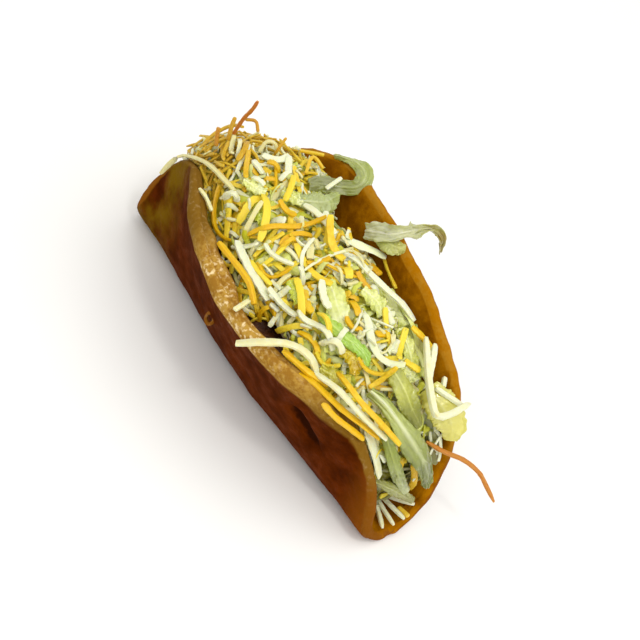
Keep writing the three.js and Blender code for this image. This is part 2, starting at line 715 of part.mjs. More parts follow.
// The lettuce makes room for the layer of cheese and its long shreds; the scattered ones lie inside it.
const cheeseBase = [cheeseLayerGeometry(), ...LONG_SHREDS.map(shred)];
const cheeseLoose = scatteredShreds(CHEESE_SCATTER).map(shred);
const cheese = join([...cheeseBase, ...cheeseLoose].map(toSolid)).subtract(taken);
addPart("shredded_cheese", fromSolid(cheese), MATERIALS.cheese);
taken = taken.add(join(cheeseBase.map((piece) => roomFor(piece, CHEESE_ROOM))));
taken = taken.add(roomFor(meat, MEAT_ROOM));

const lettucePieces = [heapGeometry(), ...LETTUCE_SCATTERS.flatMap(scatteredShreds).map(shred)];
addPart("shredded_lettuce", fromSolid(join(lettucePieces.map(toSolid)).subtract(taken)), MATERIALS.lettuce);

export default group;
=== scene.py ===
"""A taco: a folded fried tortilla filled with meat, lettuce and grated cheese, finished over its frame."""

from __future__ import annotations

import logging
import math
from dataclasses import dataclass, field
from enum import Enum
from typing import Any, Optional, Sequence

import bpy
import numpy as np
from mathutils import Matrix, Vector, noise
from mathutils.bvhtree import BVHTree


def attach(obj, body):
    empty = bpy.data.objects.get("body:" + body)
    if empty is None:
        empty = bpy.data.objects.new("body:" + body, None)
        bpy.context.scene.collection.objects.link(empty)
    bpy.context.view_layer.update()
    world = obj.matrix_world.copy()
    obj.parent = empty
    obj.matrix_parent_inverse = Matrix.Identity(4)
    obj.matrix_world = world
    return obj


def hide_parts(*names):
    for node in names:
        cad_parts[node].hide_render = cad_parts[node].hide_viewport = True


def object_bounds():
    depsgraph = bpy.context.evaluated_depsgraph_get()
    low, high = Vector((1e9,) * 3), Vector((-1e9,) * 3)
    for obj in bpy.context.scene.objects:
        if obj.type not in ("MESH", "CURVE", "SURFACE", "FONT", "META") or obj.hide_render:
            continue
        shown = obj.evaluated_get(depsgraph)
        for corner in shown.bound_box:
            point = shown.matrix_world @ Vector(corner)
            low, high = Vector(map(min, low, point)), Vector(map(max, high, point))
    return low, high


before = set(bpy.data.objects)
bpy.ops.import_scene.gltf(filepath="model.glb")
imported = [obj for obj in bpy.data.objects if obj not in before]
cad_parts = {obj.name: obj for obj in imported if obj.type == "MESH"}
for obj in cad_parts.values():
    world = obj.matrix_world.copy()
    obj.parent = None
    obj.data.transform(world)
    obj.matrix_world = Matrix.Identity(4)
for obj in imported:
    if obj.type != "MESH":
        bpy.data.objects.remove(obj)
CAD_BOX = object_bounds()

LOG = logging.getLogger("taco")
MM = 0.001
TINY = 1e-9
SPLINE_STEPS = 24

Array = np.ndarray
Dice = np.random.Generator
Material = bpy.types.Material
Piece = bpy.types.Object
Point = tuple[float, float, float]
Colour = tuple[float, float, float, float]
Span = tuple[float, float]
Window = tuple[float, float, float, float]


def srgb(red: float, green: float, blue: float) -> Colour:
    """Turns a colour as seen on a screen into the linear one that a shader takes.

    Args:
        red: Red from 0 to 255.
        green: Green from 0 to 255.
        blue: Blue from 0 to 255.

    Returns:
        The linear colour, opaque.
    """

    def linear(level: float) -> float:
        """Undoes the screen's curve for one channel."""
        share = level / 255
        return share / 12.92 if share <= 0.04045 else ((share + 0.055) / 1.055) ** 2.4

    return (linear(red), linear(green), linear(blue), 1.0)


def rise(value: Array, low: float, high: float) -> Array:
    """Rises smoothly from 0 where a value is low, or less, to 1 where it is high, or more."""
    share = np.clip((value - low) / (high - low), 0, 1)
    return share * share * (3 - 2 * share)


def window(value: Array, span: Window) -> Array:
    """Rises from 0 to 1 between a span's first two numbers and falls back to 0 between its last two."""
    start, begin, stop, end = span
    return rise(value, start, begin) * (1 - rise(value, stop, end))


def unit(rows: Array) -> Array:
    """Scales each row to a length of one."""
    return rows / (np.linalg.norm(rows, axis=1)[:, None] + TINY)


def sample(places: Array, steps: Array, rows: Array) -> Array:
    """Reads rows of numbers, which are known at steps, at other places."""
    return np.stack([np.interp(places, steps, rows[:, k]) for k in range(rows.shape[1])], -1)


# ---- shader sheets


class Value:
    """A number or colour that comes out of a shader node, for use in plain arithmetic."""

    def __init__(self, sheet: "Sheet", socket: bpy.types.NodeSocket) -> None:
        """Keeps the socket and the sheet that it is on."""
        self.sheet = sheet
        self.socket = socket

    def _math(self, operation: str, first: Any, second: Any) -> "Value":
        """Puts two numbers or values through a Math node."""
        return self.sheet.value("ShaderNodeMath", {"operation": operation}, {0: first, 1: second})

    def __add__(self, other: Any) -> "Value":
        """Adds."""
        return self._math("ADD", self, other)

    def __radd__(self, other: Any) -> "Value":
        """Adds, from the right."""
        return self._math("ADD", other, self)

    def __sub__(self, other: Any) -> "Value":
        """Takes away."""
        return self._math("SUBTRACT", self, other)

    def __rsub__(self, other: Any) -> "Value":
        """Is taken away from a number."""
        return self._math("SUBTRACT", other, self)

    def __mul__(self, other: Any) -> "Value":
        """Multiplies."""
        return self._math("MULTIPLY", self, other)

    def __rmul__(self, other: Any) -> "Value":
        """Multiplies, from the right."""
        return self._math("MULTIPLY", other, self)


class Sheet:
    """The shader nodes of one finish, around one Principled shader."""

    def __init__(self, name: str) -> None:
        """Starts an empty material.

        Args:
            name: The material's name.
        """
        self.material = bpy.data.materials.new(name)
        self.material.use_nodes = True
        self.tree = self.material.node_tree
        self.tree.nodes.clear()
        self.skin = self.node("ShaderNodeBsdfPrincipled", {}, {})
        output = self.node("ShaderNodeOutputMaterial", {}, {})
        self.tree.links.new(self.skin.outputs[0], output.inputs[0])

    def node(self, kind: str, settings: dict[str, Any], inputs: dict[Any, Any]) -> bpy.types.Node:
        """Adds a node.

        Args:
            kind: The node's type.
            settings: What is set on the node itself; "stops" are a ramp's places and colours.
            inputs: A value, number or colour for each socket, by name or number.

        Returns:
            The new node.
        """
        node = self.tree.nodes.new(kind)
        for key, setting in settings.items():
            if key == "stops":
                self._set_stops(node.color_ramp, setting)
            else:
                setattr(node, key, setting)
        for key, given in inputs.items():
            self.feed(node.inputs[key], given)
        return node

    @staticmethod
    def _set_stops(ramp: bpy.types.ColorRamp, stops: Sequence[tuple[float, Colour]]) -> None:
        """Sets the places and colours of a ramp.

        Args:
            ramp: The ramp.
            stops: A place from 0 to 1 and a colour for each stop.
        """
        while len(ramp.elements) < len(stops):
            ramp.elements.new(1.0)
        for element, (place, colour) in zip(ramp.elements, stops):
            element.position = place
            element.color = colour

    def feed(self, socket: bpy.types.NodeSocket, given: Any) -> None:
        """Links a value to a socket, or sets a number or colour on it.

        Args:
            socket: The socket.
            given: What it gets.
        """
        if isinstance(given, Value):
            self.tree.links.new(given.socket, socket)
        else:
            socket.default_value = given

    def value(self, kind: str, settings: dict[str, Any], inputs: dict[Any, Any], output: Any = 0) -> Value:
        """Adds a node and returns one of its outputs as a value."""
        return Value(self, self.node(kind, settings, inputs).outputs[output])

    def place(self) -> Value:
        """Where a point is on the object, in millimetres."""
        where = self.value("ShaderNodeTexCoord", {}, {}, "Object")
        return self.value("ShaderNodeVectorMath", {"operation": "SCALE"}, {0: where, "Scale": 1 / MM})

    def axis(self, place: Value, name: str) -> Value:
        """One of the X, Y and Z of a place."""
        return self.value("ShaderNodeSeparateXYZ", {}, {0: place}, name)

    def mark(self, name: str) -> Value:
        """A number that the mesh carries under a name."""
        return self.value("ShaderNodeAttribute", {"attribute_name": name}, {}, "Fac")

    def noise(self, place: Value, size: float, detail: float = 3.0, roughness: float = 0.55) -> Value:
        """Cloudy variation whose patches are `size` millimetres across."""
        inputs = {"Vector": place, "Scale": 1 / size, "Detail": detail, "Roughness": roughness}
        return self.value("ShaderNodeTexNoise", {}, inputs, 0)

    def cells(self, place: Value, size: float) -> Value:
        """The distance to the nearest of many scattered points, `size` millimetres apart."""
        return self.value("ShaderNodeTexVoronoi", {}, {"Vector": place, "Scale": 1 / size}, "Distance")

    def band(self, value: Value, low: float, high: float) -> Value:
        """Rises smoothly from 0 where the value is low to 1 where it is high."""
        inputs = {"Value": value, "From Min": low, "From Max": high}
        return self.value("ShaderNodeMapRange", {"interpolation_type": "SMOOTHSTEP"}, inputs)

    def window(self, value: Value, span: Window) -> Value:
        """Is 1 in the middle of a span and falls smoothly to 0 at its two ends."""
        start, begin, stop, end = span
        return self.band(value, start, begin) * self.band(value, end, stop)

    def mix(self, factor: Any, first: Any, second: Any) -> Value:
        """A colour between two others."""
        inputs = {0: factor, 6: first, 7: second}
        return self.value("ShaderNodeMix", {"data_type": "RGBA"}, inputs, 2)

    def bump(self, height: Value, distance: float, strength: float = 1.0) -> Value:
        """Relief from a height, `distance` millimetres deep."""
        inputs = {"Height": height, "Distance": distance * MM, "Strength": strength}
        return self.value("ShaderNodeBump", {}, inputs)

    def wear(self, **inputs: Any) -> Material:
        """Sets the skin's sockets and hands out the material.

        Args:
            **inputs: What each socket gets, by its name with spaces as underlines.

        Returns:
            The material.
        """
        for key, given in inputs.items():
            self.feed(self.skin.inputs[key.replace("_", " ")], given)
        return self.material


# ---- finishes


@dataclass(frozen=True)
class FriedTortilla:
    """Fried flour dough: gold inside, dark and greasy outside with painted shade, tan along its rim with
    painted glints.
    """

    inner_gold: Colour = srgb(160, 102, 4)
    inner_brown: Colour = srgb(117, 67, 1)
    inner_patches: Span = (0.4, 0.62)
    # The outer colours are darker than the fried brown alone: painted shade for the outer wall.
    outer_dark_and_shade: Colour = srgb(58, 19, 0)
    outer_red: Colour = srgb(104, 42, 1)
    outer_patches: Span = (0.28, 0.76)
    # A lighter olive patch on the far end of the outer wall is painted light.
    painted_lit_olive: Colour = srgb(118, 90, 8)
    lit_olive_end: Span = (-46.0, -68.0)
    lit_olive_patches: Span = (0.38, 0.6)
    lit_olive_share: float = 0.85
    tip_brown: Colour = srgb(140, 78, 12)
    near_tip: Span = (62.0, 80.0)
    tip_share: float = 0.8
    scorch: Colour = srgb(16, 4, 0)
    spot_size: float = 5.5
    spot_edge: Span = (0.13, 0.05)
    spot_patches: Span = (0.42, 0.6)
    spot_share: float = 0.8
    # The pit colour is painted shade in the dent.
    painted_pit_shade: Colour = srgb(42, 12, 1)
    pit_shade_edge: Span = (0.3, 0.95)
    rim_inside: Span = (0.8, 2.8)
    inside_wander: float = 4.0
    rim_outside: Span = (1.7, 2.7)
    outside_wander: float = 1.6
    outside_edge: Span = (-0.25, 0.25)
    rim_tan: Colour = srgb(184, 144, 64)
    rim_brown: Colour = srgb(152, 108, 38)
    rim_patches: Span = (0.42, 0.58)
    rim_far: Colour = srgb(118, 84, 24)
    plain_rim: Window = (-16.0, -34.0, 34.0, 54.0)
    rim_gold: Colour = srgb(165, 114, 27)
    gold_patches: Span = (0.4, 0.58)
    right_rim: Span = (2.0, 8.0)
    low_rim: Colour = srgb(128, 74, 14)
    low_rim_height: Span = (40.0, 24.0)
    # The pale speckle is painted glints on the rim.
    painted_glint: Colour = srgb(240, 216, 166)
    glint_size: float = 1.5
    glint_edge: Span = (0.5, 0.68)
    glint_patches: Span = (0.36, 0.58)
    glint_span: Window = (-25.0, -13.0, 12.0, 36.0)
    glint_least: float = 0.12
    rim_share: float = 0.9
    broad_size: float = 22.0
    medium_size: float = 7.0
    fine_size: float = 1.6
    greasy: Span = (0.4, 0.7)
    relief: float = 0.5

    def make(self) -> Material:
        """Makes the finish from where a point is on the shell and how far it is from the rim.

        Returns:
            The material.
        """
        sheet = Sheet("fried_tortilla")
        place = sheet.place()
        medium = sheet.noise(place, self.medium_size, 4, 0.6)
        fine = sheet.noise(place, self.fine_size, 4, 0.65)
        outside = sheet.band(sheet.mark("outside"), *self.outside_edge)
        inside_rim = self._beside_rim(sheet, medium, self.inside_wander, self.rim_inside)
        outside_rim = self._beside_rim(sheet, medium, self.outside_wander, self.rim_outside)
        on_rim = outside_rim * outside + inside_rim * (1 - outside)
        wall = self._wall(sheet, place, outside, medium, fine)
        colour = sheet.mix(on_rim, wall, self._rim(sheet, place, medium, fine))
        gloss = 0.62 - 0.22 * sheet.band(medium, *self.greasy) + 0.1 * fine
        return sheet.wear(
            Base_Color=colour, Roughness=gloss, Normal=sheet.bump(fine * 0.6 + medium * 0.8, self.relief),
            Specular_IOR_Level=0.05, Specular_Tint=(1.0, 0.7, 0.3, 1.0), IOR=1.2,
        )

    @staticmethod
    def _beside_rim(sheet: Sheet, medium: Value, wander: float, edge: Span) -> Value:
        """Is 1 on the rim's band, whose edge wanders with the noise, and 0 beyond it."""
        return 1 - sheet.band(sheet.mark("rim_distance") + medium * wander - wander / 2, *edge)

    def _wall(self, sheet: Sheet, place: Value, outside: Value, medium: Value, fine: Value) -> Value:
        """Colours both sides of the wall, with a painted lit patch at the far end and painted shade in the
        dent.

        Args:
            sheet: The sheet that the nodes are on.
            place: Where a point is.
            outside: Whether it is on the outside.
            medium: Noise in middling patches.
            fine: Noise in fine patches.

        Returns:
            The wall's colour.
        """
        broad = sheet.noise(place, self.broad_size, 4)
        mottle = medium * 0.6 + broad * 0.4
        inner = sheet.mix(sheet.band(mottle, *self.inner_patches), self.inner_brown, self.inner_gold)
        spots = sheet.band(sheet.cells(place, self.spot_size), *self.spot_edge)
        spots = spots * sheet.band(broad, *self.spot_patches)
        inner = sheet.mix(spots * self.spot_share, inner, self.scorch)
        outer = sheet.mix(sheet.band(mottle, *self.outer_patches), self.outer_dark_and_shade, self.outer_red)
        x = sheet.axis(place, "X")
        # Painted light: a lighter olive patch on the outer wall's far end.
        far = sheet.band(x, *self.lit_olive_end) * sheet.band(broad, *self.lit_olive_patches)
        outer = sheet.mix(far * self.lit_olive_share, outer, self.painted_lit_olive)
        outer = sheet.mix(sheet.band(x, *self.near_tip) * self.tip_share, outer, self.tip_brown)
        # Painted shade: the dent is darkened.
        ragged = sheet.mark("dented") * 1.4 + medium * 1.5 + fine * 0.8 - 1.15
        outer = sheet.mix(sheet.band(ragged, *self.pit_shade_edge), outer, self.painted_pit_shade)
        return sheet.mix(outside, inner, outer)

    def _rim(self, sheet: Sheet, place: Value, medium: Value, fine: Value) -> Value:
        """Colours the rim: tan with painted glints in the middle of the left wall, plainer elsewhere.

        Args:
            sheet: The sheet that the nodes are on.
            place: Where a point is.
            medium: Noise in middling patches.
            fine: Noise in fine patches.

        Returns:
            The rim's colour.
        """
        x = sheet.axis(place, "X")
        right = sheet.band(sheet.axis(place, "Y"), *self.right_rim)
        patches = sheet.band(fine * 0.5 + medium * 0.5, *self.rim_patches)
        tan = sheet.mix(patches, self.rim_brown, self.rim_tan)
        far_begin, far_stop, near_begin, near_stop = self.plain_rim
        plain = sheet.band(x, far_begin, far_stop) + sheet.band(x, near_begin, near_stop)
        tan = sheet.mix(plain * self.rim_share, tan, self.rim_far)
        patches = sheet.band(medium * 0.6 + fine * 0.4, *self.gold_patches)
        tan = sheet.mix(right, tan, sheet.mix(patches, self.inner_gold, self.rim_gold))
        # Painted glints: pale specks along the middle of the left rim.
        grain = sheet.band(sheet.noise(place, self.glint_size, 2, 0.5), *self.glint_edge)
        grain = grain * sheet.band(medium, *self.glint_patches)
        along = self.glint_least + (1 - self.glint_least) * sheet.window(x, self.glint_span)
        tan = sheet.mix(grain * along * (1 - right) * self.rim_share, tan, self.painted_glint)
        low = sheet.band(sheet.axis(place, "Z"), *self.low_rim_height)
        return sheet.mix(low * self.rim_share, tan, self.low_rim)


@dataclass(frozen=True)
class GratedCheese:
    """Orange and white cheese: each shred has its own tone, and those at the far end are mustard."""

    orange: Colour = srgb(222, 176, 6)
    yellow: Colour = srgb(236, 210, 56)
    yellow_tones: Span = (0.3, 0.95)
    mustard: Colour = srgb(192, 152, 36)
    mustard_share: float = 0.75
    far_end: Span = (-34.0, -58.0)
    white: Colour = srgb(226, 228, 194)
    cream: Colour = srgb(220, 212, 150)
    white_tones: Span = (0.3, 0.9)
    toasted: Colour = srgb(176, 88, 22)
    grain_size: float = 2.6
    fine_size: float = 0.8
    relief: float = 0.25
    glow: float = 0.45
    glow_depth: float = 1.6

    def make(self) -> Material:
        """Makes the finish from each shred's marks.

        Returns:
            The material.
        """
        sheet = Sheet("grated_cheese")
        place = sheet.place()
        tone = sheet.mark("tone")
        grain = sheet.noise(place, self.grain_size, 3)
        warm = sheet.mix(sheet.band(tone + grain * 0.9 - 0.3, *self.yellow_tones), self.orange, self.yellow)
        far = sheet.band(sheet.axis(place, "X"), *self.far_end)
        warm = sheet.mix(far * self.mustard_share, warm, self.mustard)
        pale = sheet.mix(sheet.band(tone + grain * 0.8 - 0.25, *self.white_tones), self.cream, self.white)
        colour = sheet.mix(sheet.mark("white"), warm, pale)
        colour = sheet.mix(sheet.mark("toasted"), colour, self.toasted)
        relief = sheet.bump(sheet.noise(place, self.fine_size, 3), self.relief)
        return sheet.wear(
            Base_Color=colour, Roughness=0.5 - 0.15 * grain, Normal=relief, Specular_IOR_Level=0.4,
            Subsurface_Weight=self.glow, Subsurface_Scale=self.glow_depth * MM,
            Subsurface_Radius=(1.0, 0.85, 0.4),
        )


@dataclass(frozen=True)
class ShreddedLettuce:
    """Finely cut lettuce: pale watery ribs and yellow-green blades, wet, with painted shade low at the near
    end.
    """

    name: str = "shredded_lettuce"
    rib: Colour = srgb(234, 240, 200)
    pale: Colour = srgb(230, 236, 150)
    blade: Colour = srgb(208, 218, 84)
    deep: Colour = srgb(186, 184, 30)
    tones: Window = (0.0, 0.42, 0.78, 1.0)
    # The hollow colour is painted shade, laid low in the near end's hollow.
    hollow: Colour = srgb(104, 98, 18)
    painted_shade_share: float = 0.9
    painted_shade_start: Span = (60.0, 68.0)
    painted_shade_top: Span = (44.0, 36.0)
    # This colour browns the core's left flank beside the left wall.
    greasy: Colour = srgb(104, 60, 12)
    brown_flank_share: float = 0.0
    brown_flank_side: Span = (-15.0, -19.0)
    brown_flank_span: Window = (-62.0, -52.0, -4.0, 4.0)
    streak_size: float = 2.4
    relief: float = 0.3
    glow: float = 0.45
    glow_depth: float = 2.2

    def make(self) -> Material:
        """Makes the finish from each shred's tone, with painted shade low at the near end and browning beside
        the left wall.

        Returns:
            The material.
        """
        sheet = Sheet(self.name)
        place = sheet.place()
        x, y, z = (sheet.axis(place, name) for name in "XYZ")
        streak = sheet.noise(place, self.streak_size, 3)
        tone = sheet.mark("tone") + streak * 0.35 - 0.17
        stops = list(zip(self.tones, (self.rib, self.pale, self.blade, self.deep)))
        colour = sheet.value("ShaderNodeValToRGB", {"stops": stops}, {0: tone})
        # Painted shade: darker low in the near end's hollow.
        inner = sheet.band(x, *self.painted_shade_start) * sheet.band(z, *self.painted_shade_top)
        colour = sheet.mix(inner * self.painted_shade_share, colour, self.hollow)
        # The core's left flank beside the left wall is browned.
        beside = sheet.band(y, *self.brown_flank_side) * sheet.window(x, self.brown_flank_span)
        colour = sheet.mix(beside * self.brown_flank_share, colour, self.greasy)
        return sheet.wear(
            Base_Color=colour, Roughness=0.42 - 0.2 * streak, Normal=sheet.bump(streak, self.relief),
            Specular_IOR_Level=0.5, Subsurface_Weight=self.glow, Subsurface_Scale=self.glow_depth * MM,
            Subsurface_Radius=(1.0, 1.0, 0.4),
        )


PACKED_LETTUCE = ShreddedLettuce(
    "packed_lettuce", srgb(216, 220, 118), srgb(206, 204, 70), srgb(190, 184, 34), srgb(162, 150, 10),
    brown_flank_share=0.95,
)


@dataclass(frozen=True)
class LeafSkin:
    """One lettuce leaf: its blade, its veins and its margin, with painted light and shade along it and in
    cloudy patches.
    """

    name: str
    blade: Colour
    # The shade colour is painted shade in cloudy patches, and the darker green of the margin.
    shade: Colour
    vein: Colour
    # The tip colour is partly the leaf's own tone and partly painted light and shade along the leaf.
    tip: Colour
    gloss: float = 0.26
    cloud_size: float = 8.0
    fine_size: float = 1.4
    tip_reach: Span = (0.35, 0.85)
    shaded: Span = (0.56, 0.36)
    shade_share: float = 0.55
    margin_share: float = 0.6
    vein_edge: Span = (0.3, 0.95)
    vein_share: float = 0.75
    relief: float = 0.45
    glow: float = 0.55
    glow_depth: float = 2.0

    def make(self) -> Material:
        """Makes the finish from the leaf's own marks for veins and margin.

        Returns:
            The material.
        """
        sheet = Sheet(self.name)
        place = sheet.place()
        patches = sheet.noise(place, self.cloud_size, 3)
        fine = sheet.noise(place, self.fine_size, 2)
        along = sheet.mark("along") + patches * 0.5 - 0.25
        # Painted light and shade: the colour grades towards the tip along the leaf, and cloudy patches take
        # the shade colour.
        colour = sheet.mix(sheet.band(along, *self.tip_reach), self.blade, self.tip)
        colour = sheet.mix(sheet.band(patches, *self.shaded) * self.shade_share, colour, self.shade)
        colour = sheet.mix(sheet.mark("margin") * self.margin_share, colour, self.shade)
        vein = sheet.band(sheet.mark("vein"), *self.vein_edge)
        colour = sheet.mix(vein * self.vein_share, colour, self.vein)
        return sheet.wear(
            Base_Color=colour, Roughness=self.gloss + 0.2 * fine,
            Normal=sheet.bump(fine * 0.5 + patches, self.relief), Specular_IOR_Level=0.5,
            Subsurface_Weight=self.glow, Subsurface_Scale=self.glow_depth * MM,
            Subsurface_Radius=(1.0, 1.0, 0.35), Coat_Weight=0.7, Coat_Roughness=0.08,
        )


@dataclass(frozen=True)
class SeasonedMeat:
    """Brown crumbled meat, greasy, with reddish specks that are partly painted glints."""

    brown: Colour = srgb(84, 42, 8)
    dark: Colour = srgb(44, 18, 4)
    dark_patches: Span = (0.38, 0.62)
    # The reddish specks are partly the meat's own red and partly painted glints.
    reddish: Colour = srgb(108, 54, 12)
    reddish_specks: Span = (0.56, 0.72)
    reddish_share: float = 0.6
    lump_size: float = 3.2
    grain_size: float = 0.8
    relief: float = 0.5

    def make(self) -> Material:
        """Makes the finish from cloudy variation over the crumbs.

        Returns:
            The material.
        """
        sheet = Sheet("seasoned_meat")
        place = sheet.place()
        lumps = sheet.noise(place, self.lump_size, 4, 0.6)
        grain = sheet.noise(place, self.grain_size, 3, 0.6)
        colour = sheet.mix(sheet.band(lumps, *self.dark_patches), self.dark, self.brown)
        # Reddish specks: partly the meat's own red, partly painted glints.
        specks = sheet.band(grain, *self.reddish_specks)
        colour = sheet.mix(specks * self.reddish_share, colour, self.reddish)
        relief = sheet.bump(grain + lumps, self.relief)
        return sheet.wear(Base_Color=colour, Roughness=0.55 - 0.25 * lumps, Normal=relief)


@dataclass(frozen=True)
class PalePaint:
    """The pale floor."""

    tone: Colour = srgb(244, 243, 240)
    shade: Colour = srgb(238, 237, 234)
    patch_size: float = 120.0

    def make(self) -> Material:
        """Makes a matt paint with a very slight cloudiness.

        Returns:
            The material.
        """
        sheet = Sheet("pale_floor")
        patches = sheet.noise(sheet.place(), self.patch_size, 2)
        return sheet.wear(Base_Color=sheet.mix(patches, self.shade, self.tone), Roughness=0.9)


# ---- the bench


class Bench:
    """Common moves at the modelling bench."""

    merge_gap: float = 0.01

    @staticmethod
    def clear() -> None:
        """Leaves nothing selected."""
        bpy.ops.object.select_all(action="DESELECT")

    @classmethod
    def take(cls, piece: Piece) -> None:
        """Selects one piece and makes it the active one.

        Args:
            piece: The piece.
        """
        cls.clear()
        piece.select_set(True)
        bpy.context.view_layer.objects.active = piece

    @classmethod
    def edit(cls, piece: Piece) -> None:
        """Opens a piece in edit mode with all of it selected.

        Args:
            piece: The piece.
        """
        cls.take(piece)
        bpy.ops.object.mode_set(mode="EDIT")
        bpy.ops.mesh.select_all(action="SELECT")

    @staticmethod
    def leave() -> None:
        """Goes back to object mode."""
        bpy.ops.object.mode_set(mode="OBJECT")

    @classmethod
    def modify(cls, piece: Piece, kind: str, **settings: Any) -> None:
        """Adds a modifier and applies it.

        Args:
            piece: The piece.
            kind: The modifier's type.
            **settings: The modifier's settings.
        """
        cls.take(piece)
        modifier = piece.modifiers.new(kind.lower(), kind)
        for key, setting in settings.items():
            setattr(modifier, key, setting)
        bpy.ops.object.modifier_apply(modifier=modifier.name)

    @classmethod
    def remesh(cls, piece: Piece, voxel: float, smoothing: int = 0) -> None:
        """Makes a piece one closed skin of even faces, and smooths it.

        Args:
            piece: The piece.
            voxel: The size of its faces, in millimetres.
            smoothing: How many times it is smoothed.
        """
        cls.modify(piece, "REMESH", mode="VOXEL", voxel_size=voxel * MM)
        if smoothing:
            cls.modify(piece, "SMOOTH", factor=0.5, iterations=smoothing)

    @classmethod
    def copy_of(cls, name: str, node: str) -> Piece:
        """Makes a merged copy of a frame node.

        Args:
            name: The new piece's name.
            node: The node whose mesh is copied.

        Returns:
            The new piece.
        """
        piece = bpy.data.objects.new(name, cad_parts[node].data.copy())
        piece.data.materials.clear()
        bpy.context.scene.collection.objects.link(piece)
        cls.edit(piece)
        bpy.ops.mesh.remove_doubles(threshold=cls.merge_gap * MM)
        bpy.ops.mesh.tris_convert_to_quads()
        cls.leave()
        return piece

    @staticmethod
    def _read(piece: Piece, key: str) -> Array:
        """Reads one vector for each vertex.

        Args:
            piece: The piece.
            key: What is read.

        Returns:
            The vectors, one row each.
        """
        flat = np.empty(len(piece.data.vertices) * 3)
        piece.data.vertices.foreach_get(key, flat)
        return flat.reshape(-1, 3)

    @classmethod
    def points(cls, piece: Piece) -> Array:
        """The piece's vertices, in millimetres."""
        return cls._read(piece, "co") / MM

    @classmethod
    def normals(cls, piece: Piece) -> Array:
        """The piece's vertex normals."""
        return cls._read(piece, "normal")

    @staticmethod
    def move_to(piece: Piece, points: Array) -> None:
        """Puts the piece's vertices at new places, in millimetres."""
        piece.data.vertices.foreach_set("co", (points * MM).ravel())
        piece.data.update()

    @staticmethod
    def mark(piece: Piece, **marks: Array) -> None:
        """Writes numbers for each vertex on the mesh, for the finish to read.

        Args:
            piece: The piece.
            **marks: The numbers, by their name.
        """
        for name, numbers in marks.items():
            layer = piece.data.attributes.new(name, "FLOAT", "POINT")
            layer.data.foreach_set("value", np.asarray(numbers, np.float32))

    @classmethod
    def surface(cls, *pieces: Piece) -> BVHTree:
        """Makes a tree of the pieces' faces, in millimetres, for finding what lies where.

        Args:
            *pieces: The pieces.

        Returns:
            The tree.
        """
        points: list[Sequence[float]] = []
        faces: list[list[int]] = []
        for piece in pieces:
            base = len(points)
            points.extend(cls.points(piece).tolist())
            faces.extend([base + corner for corner in face.vertices] for face in piece.data.polygons)
        return BVHTree.FromPolygons(points, faces)

    @classmethod
    def smooth(cls, piece: Piece, degrees: float = 60.0) -> None:
        """Shades the piece smooth, except across sharp edges."""
        cls.take(piece)
        bpy.ops.object.shade_smooth_by_angle(angle=math.radians(degrees))

    @staticmethod
    def dress(piece: Piece, finish: Material, slot: str, *nodes: str) -> Piece:
        """Gives a finished piece its material and its body, and hides the frame nodes that it stands for.

        Args:
            piece: The piece.
            finish: Its material.
            slot: The slot that the material fills; it is not used.
            *nodes: The nodes that the piece stands for.

        Returns:
            The piece.
        """
        piece.data.materials.clear()
        piece.data.materials.append(finish)
        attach(piece, "root")
        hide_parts(*nodes)
        LOG.info("%s: %d faces", piece.name, len(piece.data.polygons))
        return piece


def spline(points: Sequence[Sequence[float]], count: int) -> Array:
    """Samples a smooth curve through points, evenly along its length.

    Args:
        points: The points that the curve passes.
        count: How many samples to return.

    Returns:
        The samples, one row each.
    """
    knots = np.asarray(points, float)
    padded = np.vstack([2 * knots[0] - knots[1], knots, 2 * knots[-1] - knots[-2]])
    t = np.linspace(0, 1, SPLINE_STEPS, endpoint=False)[:, None]
    pieces = []
    for a, b, c, d in zip(padded, padded[1:], padded[2:], padded[3:]):
        pieces.append(
            0.5 * (2 * b + (c - a) * t + (2 * a - 5 * b + 4 * c - d) * t**2 + (3 * b - a - 3 * c + d) * t**3)
        )
    fine = np.vstack([*pieces, knots[-1:]])
    run = np.concatenate([[0], np.cumsum(np.linalg.norm(np.diff(fine, axis=0), axis=1))])
    return sample(np.linspace(0, run[-1], count), run, fine)


def cloud(points: Array, size: float, octaves: int = 3, shift: float = 0.0) -> Array:
    """Smooth noise at each point, about -1 to 1, in lumps of a size; a shift gives another pattern."""
    return np.array([noise.fractal(Vector(p), 1.0, 2.0, octaves) for p in points / size + shift])


def clear_of(shell: BVHTree, points: Array, room: float) -> Array:
    """Pushes points that are in the tortilla, or too near it, away from it.

    Args:
        shell: The tortilla's surface.
        points: The points, in millimetres.
        room: How far from the surface they stay.

    Returns:
        The points, moved where they had to be.
    """
    moved = points.copy()
    for i, point in enumerate(points):
        place, normal, _, _ = shell.find_nearest(Vector(point))
        gap = (Vector(point) - place).dot(normal)
        if gap < room:
            moved[i] += np.array(normal) * (room - gap)
    return moved


# ---- the tortilla


